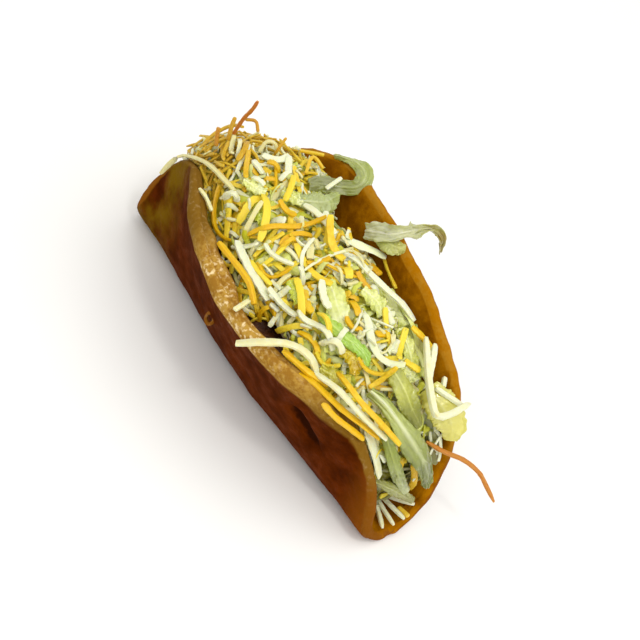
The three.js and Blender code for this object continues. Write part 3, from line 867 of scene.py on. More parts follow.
@dataclass
class Tortilla:
    """The folded fried tortilla."""

    levels: int = 2
    blister_size: float = 9.0
    blister_height: float = 0.45
    grain_size: float = 2.2
    grain_height: float = 0.16
    resting_height: float = 3.0
    resting_reach: float = 6.0
    axis_height: float = 34.0
    nose_share: float = 0.35
    nose_crowd: float = 5.0
    nose_batch: int = 200
    dent_line: tuple[Point, Point] = ((39.0, -26.2, 33.7), (47.8, -22.0, 26.6))
    dent_reach: float = 5.2
    dent_raggedness: float = 0.35
    dent_depth: float = 2.4
    lip_left: float = 1.6
    lip_thick: float = 3.2
    lip_span: Window = (-36.0, -24.0, -8.0, 4.0)
    lip_right: float = 0.5
    lip_outside: float = 1.5
    lip_reach: float = 8.0
    lip_ends: Span = (55.0, 70.0)
    swell: float = 0.25
    swell_size: float = 14.0
    band_span: Window = (-62.0, -36.0, 44.0, 62.0)
    band_widening: float = 1.7
    right_rim_scale: float = 3.0
    curl: Point = (-13.1, -25.3, 22.7)
    curl_radius: float = 2.1
    curl_thickness: float = 0.75
    curl_stretch: Point = (0.85, 1.0, 1.25)
    curl_turn: Point = (math.radians(78), 0.0, math.radians(4))
    curl_wander: float = 0.35

    def build(self, finish: Material) -> Piece:
        """Makes the shell from the frame's own, smoothed, blistered and marked.

        Args:
            finish: The fried finish.

        Returns:
            The piece.
        """
        piece = Bench.copy_of("fried_shell", "tortilla_shell")
        Bench.modify(piece, "SUBSURF", levels=self.levels, render_levels=self.levels)
        points = Bench.points(piece)
        normals = Bench.normals(piece)
        outside = self._outside(points, normals)
        rim = self._rim_distance(points, outside)
        dented = self._dent(points) * (outside > 0)
        rest = rise(points[:, 2], self.resting_height, self.resting_height + self.resting_reach)
        relief = self.blister_height * cloud(points, self.blister_size, 2)
        relief += self.grain_height * cloud(points, self.grain_size, 3, 7.0)
        relief = relief * rest - self.dent_depth * dented
        lip = self._lip(points, outside, rim)
        right = np.where(outside < 0, self.right_rim_scale, 1.0)
        rim = rim * np.where(points[:, 1] > 0, right, self._band_scale(points, outside))
        Bench.move_to(piece, points + normals * (relief + lip)[:, None])
        Bench.mark(piece, outside=outside, rim_distance=rim, dented=dented)
        Bench.smooth(piece)
        return Bench.dress(piece, finish, "fried_tortilla", "tortilla_shell")

    def curled_blister(self, finish: Material) -> None:
        """Makes the small curled blister low on the left wall.

        Args:
            finish: The fried finish.
        """
        Bench.clear()
        bpy.ops.mesh.primitive_torus_add(
            major_radius=self.curl_radius * MM, minor_radius=self.curl_thickness * MM,
            major_segments=28, minor_segments=12, rotation=self.curl_turn,
        )
        piece = bpy.context.active_object
        piece.name = "curled_blister"
        bpy.ops.object.transform_apply(location=False, rotation=True, scale=False)
        points = Bench.points(piece) * np.array(self.curl_stretch) + np.array(self.curl)
        wander = np.stack([cloud(points, self.grain_size, 2, shift) for shift in (1.0, 5.0, 9.0)], -1)
        Bench.move_to(piece, points + self.curl_wander * wander)
        none = np.zeros(len(points))
        Bench.mark(piece, outside=none + 1, rim_distance=none, dented=none)
        Bench.smooth(piece)
        Bench.dress(piece, finish, "fried_tortilla", "tortilla_shell")

    def _outside(self, points: Array, normals: Array) -> Array:
        """Finds how much each point faces away from the line inside the fold.

        Args:
            points: The shell's points.
            normals: Their normals.

        Returns:
            From -1, on the inside, to 1.
        """
        away = points - np.array([0, 0, self.axis_height])
        away[:, 0] = 0
        return (unit(away) * normals).sum(1)

    def _rim_distance(self, points: Array, outside: Array) -> Array:
        """Finds how far each point is from the nose of the rim, leaving out stray points.

        Args:
            points: The shell's points.
            outside: How much each faces outwards.

        Returns:
            The distances.
        """
        nose = points[(np.abs(outside) < self.nose_share) & (points[:, 2] > self.resting_height)]
        crowd = np.array([(np.linalg.norm(nose - point, axis=1) < self.nose_crowd).sum() for point in nose])
        nose = nose[crowd > np.median(crowd) / 3]
        nearest = np.full(len(points), np.inf)
        for start in range(0, len(nose), self.nose_batch):
            gap = np.linalg.norm(points[:, None] - nose[None, start : start + self.nose_batch], axis=2)
            nearest = np.minimum(nearest, gap.min(1))
        return nearest

    def _band_scale(self, points: Array, outside: Array) -> Array:
        """How much nearer to the rim the left wall's outer points count, so that its tan band is wide."""
        return 1 / (1 + self.band_widening * window(points[:, 0], self.band_span) * (outside > 0))

    def _lip(self, points: Array, outside: Array, rim: Array) -> Array:
        """Finds how much thicker the dough is at its rim, most of all on the left.

        Args:
            points: The shell's points.
            outside: How much each faces outwards.
            rim: How far each is from the nose of the rim.

        Returns:
            How far each is raised.
        """
        left = points[:, 1] < 0
        thick = window(points[:, 0], self.lip_span)
        height = np.where(left, self.lip_left + (self.lip_thick - self.lip_left) * thick, self.lip_right)
        inner = rise(-outside, -0.2, 0.5)
        ends = 1 - rise(np.abs(points[:, 0]), *self.lip_ends)
        swell = 1 + self.swell * cloud(points, self.swell_size, 2, 21.0)
        reach = self.lip_reach * (1 + 0.8 * thick)
        within = height * inner * (1 - rise(rim / reach, 0.15, 1.0)) * ends * swell
        outward = self.lip_outside * left * rise(outside, 0.1, 0.7)
        beside = 1 - rise(rim, 2.5, self.lip_reach)
        return within + outward * beside * window(points[:, 0], self.band_span) * swell

    def _dent(self, points: Array) -> Array:
        """Finds how deep each point lies in the long dent of the left wall.

        Args:
            points: The shell's points.

        Returns:
            From 0 to 1.
        """
        start, end = (np.array(p) for p in self.dent_line)
        along = np.clip((points - start) @ (end - start) / ((end - start) @ (end - start)), 0, 1)
        gap = np.linalg.norm(points - (start + along[:, None] * (end - start)), axis=1)
        ragged = self.dent_reach * (1 + self.dent_raggedness * cloud(points, 3.0, 2, 13.0))
        return 1 - np.clip(gap / ragged, 0, 1)


# ---- the bed and the pile


@dataclass
class HeapCore:
    """The dense inside of the heap, which the shreds lie on."""

    voxel: float = 1.6
    smoothing: int = 16
    sink: float = 3.4
    sink_under_cheese: float = 0.6
    cheese_reach: float = 7.0
    wall_room: float = 0.4
    wall_gap: Span = (2.2, 6.0)
    scoop_reach: Span = (3.0, 15.0)
    scoop_span: Window = (-60.0, -46.0, 58.0, 70.0)
    right_side: Span = (-2.0, 6.0)
    right_scoop: float = 7.0
    left_scoop: float = 11.0
    left_span: Window = (-58.0, -44.0, -4.0, 8.0)
    left_rest: float = 2.5
    hollow: Point = (-19.0, 27.0, 57.5)
    hollow_reach: Span = (3.0, 15.0)
    hollow_depth: float = 12.0
    relief: float = 0.7
    relief_size: float = 2.6
    piece: Optional[Piece] = None

    def build(self, shell: BVHTree) -> None:
        """Makes the core a little lower than the heap, except where it meets the tortilla.

        Args:
            shell: The tortilla's surface.
        """
        self.piece = Bench.copy_of("heap_core", "shredded_lettuce")
        cheese = Bench.surface(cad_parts["shredded_cheese"])
        Bench.remesh(self.piece, self.voxel, self.smoothing)
        points = Bench.points(self.piece)
        normals = Bench.normals(self.piece)
        gap = np.array([shell.find_nearest(Vector(p))[3] for p in points])
        covered = np.array([
            cheese.ray_cast(Vector(p), Vector(n), self.cheese_reach)[0] is not None
            for p, n in zip(points, normals)
        ])
        sink = np.where(covered, self.sink_under_cheese, self.sink) * rise(gap, *self.wall_gap)
        points = points - normals * sink[:, None]
        points[:, 2] -= self._scoop(points, normals, gap)
        Bench.move_to(self.piece, clear_of(shell, points, self.wall_room))
        Bench.remesh(self.piece, self.voxel, self.smoothing)

    def _scoop(self, points: Array, normals: Array, gap: Array) -> Array:
        """Finds how much lower the core's top is beside the walls and in the hollow by the right rim.

        Args:
            points: The core's points.
            normals: Their normals.
            gap: How far each is from the tortilla.

        Returns:
            How far each is lowered.
        """
        beside = (1 - rise(gap, *self.scoop_reach)) * rise(normals[:, 2], 0.1, 0.5)
        right = rise(points[:, 1], *self.right_side)
        left = self.left_rest + (self.left_scoop - self.left_rest) * window(points[:, 0], self.left_span)
        trough = (left + (self.right_scoop - left) * right) * window(points[:, 0], self.scoop_span) * beside
        away = np.linalg.norm(points - np.array(self.hollow), axis=1)
        return trough + self.hollow_depth * (1 - rise(away, *self.hollow_reach))

    def _within(self, shell: BVHTree, points: Array) -> Array:
        """Brings points that came near the outside of a wall back to its inside.

        Args:
            shell: The tortilla's surface.
            points: The points.

        Returns:
            The points, moved where they had to be.
        """
        moved = points.copy()
        for i, point in enumerate(points):
            side = float(np.sign(point[1]))
            if shell.find_nearest(Vector(point))[1].y * side <= 0:
                continue
            place, _, _, _ = shell.ray_cast(Vector((point[0], 0, point[2])), Vector((0, side, 0)))
            if place is not None and abs(point[1]) > abs(place.y) - self.wall_room:
                moved[i, 1] = place.y - side * self.wall_room
        return moved

    def dress(self, shell: BVHTree, finish: Material) -> None:
        """Roughens the core and gives it its finish.

        Args:
            shell: The tortilla's surface.
            finish: The lettuce's finish.
        """
        Bench.modify(self.piece, "SUBSURF", levels=1, render_levels=1)
        points = Bench.points(self.piece)
        lumps = cloud(points, self.relief_size, 3)
        points = points + Bench.normals(self.piece) * (self.relief * lumps)[:, None]
        Bench.move_to(self.piece, self._within(shell, points))
        Bench.mark(self.piece, tone=np.clip(0.62 + 0.5 * lumps, 0, 1))
        Bench.smooth(self.piece)
        Bench.dress(self.piece, finish, "shredded_lettuce", "shredded_lettuce")


def away_from_below(path: Array, steepest: float, aside: Point) -> Array:
    """Finds the direction away from what a path lies on: up, or aside where the path is steep.

    Args:
        path: The points of the path.
        steepest: The rise for each millimetre from which it counts as steep.
        aside: The direction where it is steep.

    Returns:
        One direction for each point.
    """
    ahead = np.gradient(path, axis=0)
    steep = np.abs(ahead[:, 2]) > steepest * np.linalg.norm(ahead, axis=1)
    return np.where(steep[:, None], np.array(aside), np.array([0.0, 0.0, 1.0]))


class Pile:
    """The room above the core as a fine grid, so that each shred lies on what is already there."""

    margin: float = 4.0
    slack: float = 0.01

    def __init__(self, low: Sequence[float], high: Sequence[float], cell: float = 0.55) -> None:
        """Starts an empty grid.

        Args:
            low: The lowest corner, in millimetres.
            high: The highest corner.
            cell: The size of one cell.
        """
        self.low = np.asarray(low, float) - self.margin
        self.cell = cell
        self.shape = np.ceil((np.asarray(high) + self.margin - self.low) / cell).astype(int)
        self.full = np.zeros(self.shape, bool)

    def _cells(self, points: Array) -> tuple[Array, ...]:
        """The grid cells that points fall in."""
        cells = ((points - self.low) / self.cell).astype(int)
        return tuple(np.clip(cells, 0, self.shape - 1).T)

    def taken(self, points: Array) -> Array:
        """Whether something already lies at each point."""
        shape = points.shape[:-1]
        return self.full[self._cells(points.reshape(-1, 3))].reshape(shape)

    def height(self, x: float, y: float) -> float:
        """Finds how high the pile reaches in one place.

        Args:
            x: The place along the taco.
            y: The place across it.

        Returns:
            The height of the highest thing there.
        """
        column = self.full[int((x - self.low[0]) / self.cell), int((y - self.low[1]) / self.cell)]
        filled = np.flatnonzero(column)
        return self.low[2] + (filled[-1] + 1) * self.cell if len(filled) else 0.0

    def fill(self, points: Array, radius: float) -> None:
        """Marks the room around points as taken.

        Args:
            points: The points.
            radius: How far around each the room is taken.
        """
        reach = np.arange(-radius, radius + self.cell, self.cell)
        ball = np.stack(np.meshgrid(reach, reach, reach), -1).reshape(-1, 3)
        ball = ball[np.linalg.norm(ball, axis=1) <= radius + self.slack]
        self.full[self._cells((points[:, None] + ball[None]).reshape(-1, 3))] = True


@dataclass(frozen=True)
class Cut:
    """How one kind of shred is cut, in millimetres."""

    length: Span = (1.0, 1.0)
    width: Span = (1.0, 1.0)
    thickness: Span = (1.0, 1.0)
    bend: float = 0.6
    wiggle: float = 0.06
    order: int = 2
    curl: float = 0.8
    twist: float = 0.5
    cup: float = 0.0
    wave: float = 0.0


class Profile(Enum):
    """The section of a shred: a grated bar or a cut strip of leaf."""

    BAR = "bar"
    STRIP = "strip"


@dataclass
class Shredder:
    """Makes many shreds from one modelled shred, and joins them into one piece."""

    profile: Profile
    stations: tuple[float, ...] = (0.0, 0.03, 0.12, 0.28, 0.45, 0.62, 0.8, 0.95, 1.0)
    tip: float = 0.82
    corner: float = 0.14
    uneven: float = 0.2
    end_share: Span = (0.6, 1.0)
    taper_start: float = -0.05
    taper_reach: float = 0.16
    strip_corners: int = 6
    shading_angle: float = 34.0
    points: list[Array] = field(default_factory=list)
    faces: list[list[int]] = field(default_factory=list)
    marks: dict[str, list[Array]] = field(default_factory=dict)
    total: int = 0

    def __post_init__(self) -> None:
        """Models the one shred: a section, extruded station by station."""
        if self.profile is Profile.BAR:
            bpy.ops.mesh.primitive_plane_add(size=1, rotation=(0, math.pi / 2, 0))
        else:
            bpy.ops.mesh.primitive_circle_add(
                vertices=self.strip_corners, radius=0.5, fill_type="NGON", rotation=(0, math.pi / 2, 0)
            )
        piece = bpy.context.active_object
        bpy.ops.object.transform_apply(location=False, rotation=True, scale=False)
        Bench.edit(piece)
        if self.profile is Profile.BAR:
            bpy.ops.mesh.bevel(offset=self.corner, affect="VERTICES")
        bpy.ops.transform.resize(value=(1, self.tip, self.tip))
        last = 0.0
        for place in self.stations[1:]:
            bpy.ops.mesh.extrude_region_move(TRANSFORM_OT_translate={"value": (place - last, 0, 0)})
            if last == 0.0:
                bpy.ops.transform.resize(value=(1, 1 / self.tip, 1 / self.tip))
            if place == 1.0:
                bpy.ops.transform.resize(value=(1, self.tip, self.tip))
            last = place
        bpy.ops.mesh.select_all(action="SELECT")
        bpy.ops.mesh.normals_make_consistent(inside=False)
        Bench.leave()
        form = Bench.points(piece) * MM
        self.along = np.clip(form[:, 0], 0, 1)
        self.ring = np.array([int(np.argmin(np.abs(np.array(self.stations) - t))) for t in self.along])
        self.across = form[:, 1:]
        self.form_faces = [list(face.vertices) for face in piece.data.polygons]
        bpy.data.objects.remove(piece)

    def add(
        self,
        path: Array,
        over: Array,
        width: float,
        thickness: float,
        rng: Dice,
        cut: Cut,
        marks: dict[str, float],
    ) -> None:
        """Bends one shred along a path.

        Args:
            path: The middle of the shred, at even steps, in millimetres.
            over: The direction away from what it lies on, at each step.
            width: Its width.
            thickness: Its thickness.
            rng: The source of its unevenness.
            cut: The kind of shred.
            marks: What its finish reads, the same all over it.
        """
        steps = np.linspace(0, 1, len(path))
        stations = np.array(self.stations)
        middle = sample(stations, steps, path)
        tangent = unit(np.gradient(middle, stations, axis=0))
        side = unit(np.cross(sample(stations, steps, over), tangent))
        top = np.cross(tangent, side)
        turn = rng.uniform(-cut.twist, cut.twist) + rng.uniform(-cut.twist, cut.twist) * stations
        cos, sin = np.cos(turn)[:, None], np.sin(turn)[:, None]
        side, top = side * cos + top * sin, top * cos - side * sin
        taper = self._taper(stations, rng)
        wide = width * taper * (1 + rng.uniform(-self.uneven, self.uneven, len(stations)))
        high = thickness * taper * (1 + rng.uniform(-self.uneven, self.uneven, len(stations)))
        ring = self.ring
        y, z = self.across[:, 0], self.across[:, 1]
        lift = z * high[ring] - cut.cup * width * (2 * y) ** 2
        place = middle[ring] + side[ring] * (y * wide[ring])[:, None] + top[ring] * lift[:, None]
        self.points.append(place)
        self.faces.extend([corner + self.total for corner in face] for face in self.form_faces)
        self.total += len(place)
        for name, number in marks.items():
            self.marks.setdefault(name, []).append(np.full(len(place), number))

    def _taper(self, stations: Array, rng: Dice) -> Array:
        """Finds how much thinner a shred is towards its two ends, some of which run out thin.

        Args:
            stations: Where along the shred, from 0 to 1.
            rng: The source of its unevenness.

        Returns:
            The share of its full width at each station.
        """
        first, last = rng.uniform(*self.end_share, 2)
        start = first + (1 - first) * rise(stations, self.taper_start, self.taper_reach)
        stop = last + (1 - last) * rise(1 - stations, self.taper_start, self.taper_reach)
        return start * stop

    def finish(self, name: str) -> Piece:
        """Joins the shreds into one piece.

        Args:
            name: The piece's name.

        Returns:
            The piece.
        """
        mesh = bpy.data.meshes.new(name)
        mesh.from_pydata((np.vstack(self.points) * MM).tolist(), [], self.faces)
        piece = bpy.data.objects.new(name, mesh)
        bpy.context.scene.collection.objects.link(piece)
        Bench.mark(piece, **{key: np.concatenate(parts) for key, parts in self.marks.items()})
        Bench.smooth(piece, self.shading_angle)
        return piece


class Layer:
    """Lays shreds over the core, each on top of what is already there and clear of the tortilla."""

    lowest_facing: float = -0.35
    wall_gap: float = 2.4
    wall_reach: float = 80.0
    open_side: float = 30.0
    step: float = 1.2
    turning_gap: float = 3.0
    turning: float = 1.2
    levels: Point = (0.3, 9.0, 0.45)
    footprint: Point = (-0.32, 0.0, 0.32)
    varied: float = 0.7
    wall_room: float = 0.2
    most_push: float = 3.0
    leaf_room: float = 1.3
    least_fill: float = 0.5
    press: float = 0.6
    rough_steps: int = 40
    strand_step: float = 0.9
    fewest_steps: int = 6
    most_bends: int = 4
    steepest: float = 0.85
    aside: Point = (0.6, -0.8, 0.0)
    strand_footprint: float = 0.3
    above_all: float = 120.0

    def __init__(self, core: Piece, shell: BVHTree, pile: Pile, blocked: BVHTree) -> None:
        """Finds the part of the core that shows.

        Args:
            core: The core of the heap.
            shell: The tortilla's surface.
            pile: The room above the core.
            blocked: The leaves, which shreds stay clear of.
        """
        self.shell = shell
        self.pile = pile
        self.blocked = blocked
        self.surface = Bench.surface(core)
        points = Bench.points(core)
        self.spots, self.weights = [], []
        for face in core.data.polygons:
            middle = points[list(face.vertices)].mean(0)
            gap = self.shell.find_nearest(Vector(middle))[3]
            if face.normal.z < self.lowest_facing or gap < self.wall_gap:
                continue
            self.spots.append(middle)
            self.weights.append(face.area)
        self.spots = np.array(self.spots)
        self.weights = np.array(self.weights)

    def across(self, point: Array) -> float:
        """Finds where a point lies between the left wall (0) and the right wall (1).

        Args:
            point: The point.

        Returns:
            Its share of the way.
        """
        reach = []
        for side in (-1, 1):
            hit = self.shell.ray_cast(Vector(point), Vector((0, side, 0)), self.wall_reach)
            reach.append(hit[3] if hit[0] is not None else self.open_side)
        return reach[0] / (reach[0] + reach[1])

    def _walk(
        self, start: Array, heading: float, length: float, cut: Cut, rng: Dice
    ) -> tuple[Array, Array]:
        """Walks over the core from a point, turning a little at each step.

        Args:
            start: Where the shred's one end is.
            heading: Which way it sets out, in radians.
            length: How far it goes.
            cut: The kind of shred.
            rng: The source of its turns.

        Returns:
            The points on the core and the directions away from it.
        """
        count = max(int(length / self.step), 3) + 1
        place, normal, _, _ = self.surface.find_nearest(Vector(start))
        sideways = Vector((math.cos(heading), math.sin(heading), 0))
        ahead = (sideways - normal * sideways.dot(normal)).normalized()
        turn = rng.uniform(-cut.bend, cut.bend) / count
        places, overs = [], []
        smoothed = normal.copy()
        for _ in range(count):
            smoothed = (smoothed * 2 + normal).normalized()
            places.append(place[:])
            overs.append(smoothed[:])
            angle = turn + rng.uniform(-cut.wiggle, cut.wiggle)
            ahead = ahead * math.cos(angle) + normal.cross(ahead) * math.sin(angle)
            wall = self.shell.find_nearest(place)
            if wall[3] < self.turning_gap and ahead.dot(wall[1]) < 0:
                ahead = ahead - wall[1] * ahead.dot(wall[1]) * self.turning
            place, normal, _, _ = self.surface.find_nearest(place + ahead.normalized() * self.step)
            ahead = (ahead - normal * ahead.dot(normal)).normalized()
        return np.array(places), np.array(overs)

    def _lifts(self, places: Array, overs: Array, width: float, thickness: float) -> Array:
        """Finds how far above the core the pile reaches under each point of a shred.

        Args:
            places: The points on the core.
            overs: The directions away from it.
            width: The shred's width.
            thickness: Its thickness.

        Returns:
            How high its middle lies at each point.
        """
        levels = np.arange(*self.levels)
        side = unit(np.cross(overs, np.gradient(places, axis=0)))
        reach = np.array(self.footprint) * width
        probes = (
            places[:, None, None]
            + side[:, None, None] * reach[None, :, None, None]
            + overs[:, None, None] * levels[None, None, :, None]
        )
        taken = self.pile.taken(probes).any(1)
        return np.where(taken, levels[None], 0).max(1) + thickness / 2

    def lay(
        self,
        shredder: Shredder,
        cut: Cut,
        rng: Dice,
        spots: Array,
        limit: float,
        marks: dict[str, float],
    ) -> bool:
        """Lays one shred at the emptiest of a few spots.

        Args:
            shredder: What joins the shreds of this kind.
            cut: The kind of shred.
            rng: The source of its size, place and bends.
            spots: Candidate places on the core.
            limit: How high above the core it may reach.
            marks: What its finish reads.

        Returns:
            Whether it was laid.
        """
        length = rng.uniform(*cut.length) if rng.random() < self.varied else cut.length[0]
        width = rng.uniform(*cut.width)
        thickness = rng.uniform(*cut.thickness)
        best = None
        for spot in spots:
            places, overs = self._walk(spot, rng.uniform(0, 2 * math.pi), length, cut, rng)
            lifts = self._lifts(places, overs, width, thickness)
            if best is None or lifts.max() < best[2].max():
                best = (places, overs, lifts)
        places, overs, lifts = best
        run = np.linspace(-1, 1, len(lifts))
        smooth = self._bridge(lifts, run, cut.order)
        if smooth.max() > limit:
            return False
        smooth = smooth + rng.uniform(0, cut.curl) * np.maximum(run * rng.choice([-1, 1]), 0) ** 2
        smooth = smooth + cut.wave * np.sin(run * rng.uniform(3, 6) + rng.uniform(0, 6))
        meant = self._fair(places, run, cut.order + 1) + overs * smooth[:, None]
        path = clear_of(self.shell, meant, width / 2 + self.wall_room)
        if np.abs(path - meant).max() > self.most_push or self._meets_leaf(path):
            return False
        self.pile.fill(path, max(thickness / 2, self.least_fill))
        shredder.add(path, overs, width, thickness, rng, cut, marks)
        return True

    def place(self, shredder: Shredder, strand: "Strand", rng: Dice, cut: Cut) -> None:
        """Lays one strand along its own way, on top of what is there unless it runs free.

        Args:
            shredder: What joins the shreds of this kind.
            strand: The strand.
            rng: The source of its unevenness.
            cut: How it is cut.
        """
        rough = spline(strand.way, self.rough_steps)
        length = np.linalg.norm(np.diff(rough, axis=0), axis=1).sum()
        path = spline(strand.way, max(int(length / self.strand_step), self.fewest_steps))
        if path.shape[1] == 2:
            run = np.linspace(-1, 1, len(path))
            path = self._fair(path, run, min(len(strand.way) - 1, self.most_bends))
            heights = np.array([self._top(x, y, strand.width) for x, y in path]) + strand.thickness / 2
            path = np.column_stack([path, self._bridge(heights, run, 2 + len(strand.way) // 5)])
        over = away_from_below(path, self.steepest, self.aside)
        self.pile.fill(path, max(strand.thickness / 2, self.least_fill))
        marks = {"tone": strand.tone, "toasted": strand.toasted, "white": float(strand.kind is Kind.WHITE)}
        shredder.add(path, over, strand.width, strand.thickness, rng, cut, marks)

    def _top(self, x: float, y: float, width: float) -> float:
        """Finds how high the pile, the core or a leaf reaches under a strand.

        Args:
            x: Where the strand is, along the taco.
            y: Where it is, across the taco.
            width: Its width.

        Returns:
            The height.
        """
        top = 0.0
        off = self.strand_footprint
        for dx, dy in ((0, 0), (off, 0), (-off, 0), (0, off), (0, -off)):
            spot = (x + dx * width, y + dy * width)
            for tree in (self.surface, self.blocked):
                hit = tree.ray_cast(Vector((*spot, self.above_all)), Vector((0, 0, -1)))[0]
                top = max(top, hit.z if hit is not None else 0.0)
            top = max(top, self.pile.height(*spot))
        return top

    @staticmethod
    def _fair(rows: Array, run: Array, order: int) -> Array:
        """Fits a low curve through rows of numbers along a run, so that a shred bends gently."""
        basis = np.polynomial.chebyshev.chebvander(run, min(order, len(run) - 1))
        return basis @ np.linalg.lstsq(basis, rows, rcond=None)[0]

    def _bridge(self, lifts: Array, run: Array, order: int) -> Array:
        """Finds the gentle curve that lies on the highest of what is under a shred.

        Args:
            lifts: How high that is at each point.
            run: Where along the shred each is, from -1 to 1.
            order: How many bends the curve may have.

        Returns:
            The shred's height at each point.
        """
        raised = lifts.copy()
        for _ in range(3):
            raised = np.maximum(raised, self._fair(raised, run, order))
        fair = self._fair(raised, run, order)
        return fair + self.press * max((lifts - fair).max(), 0)

    def _meets_leaf(self, path: Array) -> bool:
        """Whether a path comes close to a leaf."""
        near = (self.blocked.find_nearest(Vector(point), self.leaf_room) for point in path)
        return any(hit[0] is not None for hit in near)


# ---- leaves


@dataclass(frozen=True)
class Leaf:
    """One lettuce leaf: a thin sheet along a spine, ruffled towards its margins."""

    name: str
    node: str
    spine: tuple[Point, ...]
    half_widths: tuple[float, ...]
    side: Point
    ruffle: float
    waves: float
    cup: float
    skin: LeafSkin
    frill: float = 0.5
    thickness: float = 0.5
    rows: int = 60
    columns: int = 22
    rib_height: float = 0.4
    rib_width: float = 0.13
    crumple: float = 0.25
    slot: str = "lettuce_leaf"
    faces_up: bool = True
    curve_steps: int = 200
    raggedness: float = 0.22
    branches: float = 9.0
    branch_slant: float = 1.6
    branch_height: float = 0.3
    rib_fade: float = 0.6
    wave_lean: float = 2.2
    frill_height: float = 1.6
    shading_angle: float = 80.0

    def build(self) -> Piece:
        """Shapes a grid into the leaf, with raised veins, and gives it its thickness.

        Returns:
            The piece.
        """
        Bench.clear()
        bpy.ops.mesh.primitive_grid_add(x_subdivisions=self.rows, y_subdivisions=self.columns, size=1)
        piece = bpy.context.active_object
        piece.name = self.name
        flat = Bench.points(piece) * MM
        t = np.clip(flat[:, 0] + 0.5, 0, 1)
        v = np.clip(2 * flat[:, 1], -1, 1)
        points, vein = self._shape(t, v)
        Bench.move_to(piece, points)
        Bench.mark(piece, vein=vein, along=t, margin=rise(np.abs(v), 0.7, 1.0))
        Bench.modify(piece, "SOLIDIFY", thickness=self.thickness * MM, offset=0.0)
        Bench.modify(piece, "SUBSURF", levels=1, render_levels=1)
        Bench.smooth(piece, self.shading_angle)
        return Bench.dress(piece, self.skin.make(), self.slot, self.node)

    def _shape(self, t: Array, v: Array) -> tuple[Array, Array]:
        """Places points given along (t, 0 to 1) and across (v, -1 to 1) the leaf.

        Args:
            t: How far along the spine.
            v: How far from the rib towards the margins.

        Returns:
            The points, and how much of a vein each lies on.
        """
        curve = spline(self.spine, self.curve_steps)
        tangent = np.gradient(curve, axis=0)
        tangent /= np.linalg.norm(tangent, axis=1)[:, None]
        side = np.array(self.side)[None] - (tangent @ np.array(self.side))[:, None] * tangent
        if self.faces_up:
            side = np.cross(side, tangent)
        side /= np.linalg.norm(side, axis=1)[:, None]
        fine = np.linspace(0, 1, self.curve_steps)
        spine, across, above = (sample(t, fine, rows) for rows in (curve, side, np.cross(tangent, side)))
        stations = np.linspace(0, 1, len(self.half_widths))
        half = spline(np.stack([stations, self.half_widths], -1), self.curve_steps)
        width = np.interp(t, half[:, 0], half[:, 1])
        seed = np.stack([t * 14, v * 3, np.full_like(t, len(self.name))], -1)
        ragged = 1 + self.raggedness * cloud(seed, 1.0, 3) * np.abs(v)
        slant = t * self.branches - self.branch_slant * np.abs(v)
        branch = rise(np.abs((slant % 1.0) - 0.5) * 2, 0.72, 1.0) * (1 - 0.6 * np.abs(v))
        middle = np.exp(-((v / self.rib_width) ** 2)) * (1 - self.rib_fade * t)
        wave = self.ruffle * v * v * np.sin(self.waves * math.pi * t + self.wave_lean * v)
        frill = self.frill * np.abs(v) ** 3 * cloud(seed * np.array([1.6, 1, 1]), 1.0, 2, 3.0)
        veins = self.rib_height * (middle + self.branch_height * branch)
        lift = wave + self.cup * v * v + frill * self.frill_height + veins
        lift += self.crumple * cloud(seed * np.array([0.8, 1.4, 1]), 1.0, 2, 9.0)
        place = spine + across * (width * ragged * v)[:, None] + above * lift[:, None]
        return place, np.maximum(middle, branch * 0.7)


def leaf_skin(name: str, *tones: tuple[int, int, int]) -> LeafSkin:
    """Makes a leaf's skin from its blade, shade, vein and tip, as seen on a screen."""
    return LeafSkin(name, *(srgb(*tone) for tone in tones))


GREY_GREEN = leaf_skin("leaf_grey_green", (166, 176, 100), (132, 142, 50), (190, 196, 136), (132, 136, 82))
LOBE_GREEN = leaf_skin("leaf_lobe", (176, 186, 124), (136, 144, 66), (200, 206, 160), (168, 180, 104))
EDGE_GREEN = leaf_skin("leaf_edge", (132, 146, 40), (100, 112, 16), (160, 170, 80), (142, 152, 50))
CREAM_GREEN = leaf_skin("leaf_cream", (188, 190, 148), (156, 158, 96), (212, 210, 182), (150, 130, 64))
RIM_GREEN = leaf_skin("leaf_rim_lobe", (186, 192, 110), (160, 162, 72), (206, 208, 140), (178, 176, 92))
YELLOW_GREEN = leaf_skin("leaf_yellow", (208, 202, 100), (178, 172, 62), (222, 218, 150), (210, 202, 106))
PALE_GREEN = leaf_skin("leaf_pale", (168, 176, 94), (122, 132, 36), (222, 226, 184), (104, 112, 40))
LOW_GREEN = leaf_skin("leaf_low", (132, 142, 44), (90, 100, 16), (156, 166, 80), (166, 174, 112))
CROSS_GREEN = leaf_skin("leaf_cross", (140, 142, 62), (110, 108, 32), (164, 166, 96), (150, 152, 76))
OLIVE_GREEN = leaf_skin("leaf_olive", (184, 186, 78), (132, 134, 28), (208, 210, 128), (116, 120, 34))
BRIGHT_GREEN = leaf_skin("leaf_bright", (174, 206, 78), (138, 176, 44), (204, 224, 130), (152, 190, 62))
GOLD_BLADE = leaf_skin("blade_gold", (206, 180, 22), (172, 150, 8), (222, 202, 70), (200, 168, 16))
OLIVE_BLADE = leaf_skin("blade_olive", (190, 182, 46), (158, 150, 16), (210, 204, 96), (196, 186, 60))
FRILL_BLADE = leaf_skin("blade_frill", (226, 232, 146), (196, 204, 84), (236, 240, 190), (230, 236, 168))
STRIP_BLADE = leaf_skin("blade_strip", (218, 222, 132), (170, 178, 52), (234, 238, 178), (206, 212, 110))
FRESH_BLADE = leaf_skin("blade_fresh", (198, 210, 70), (164, 178, 30), (220, 228, 120), (204, 212, 84))


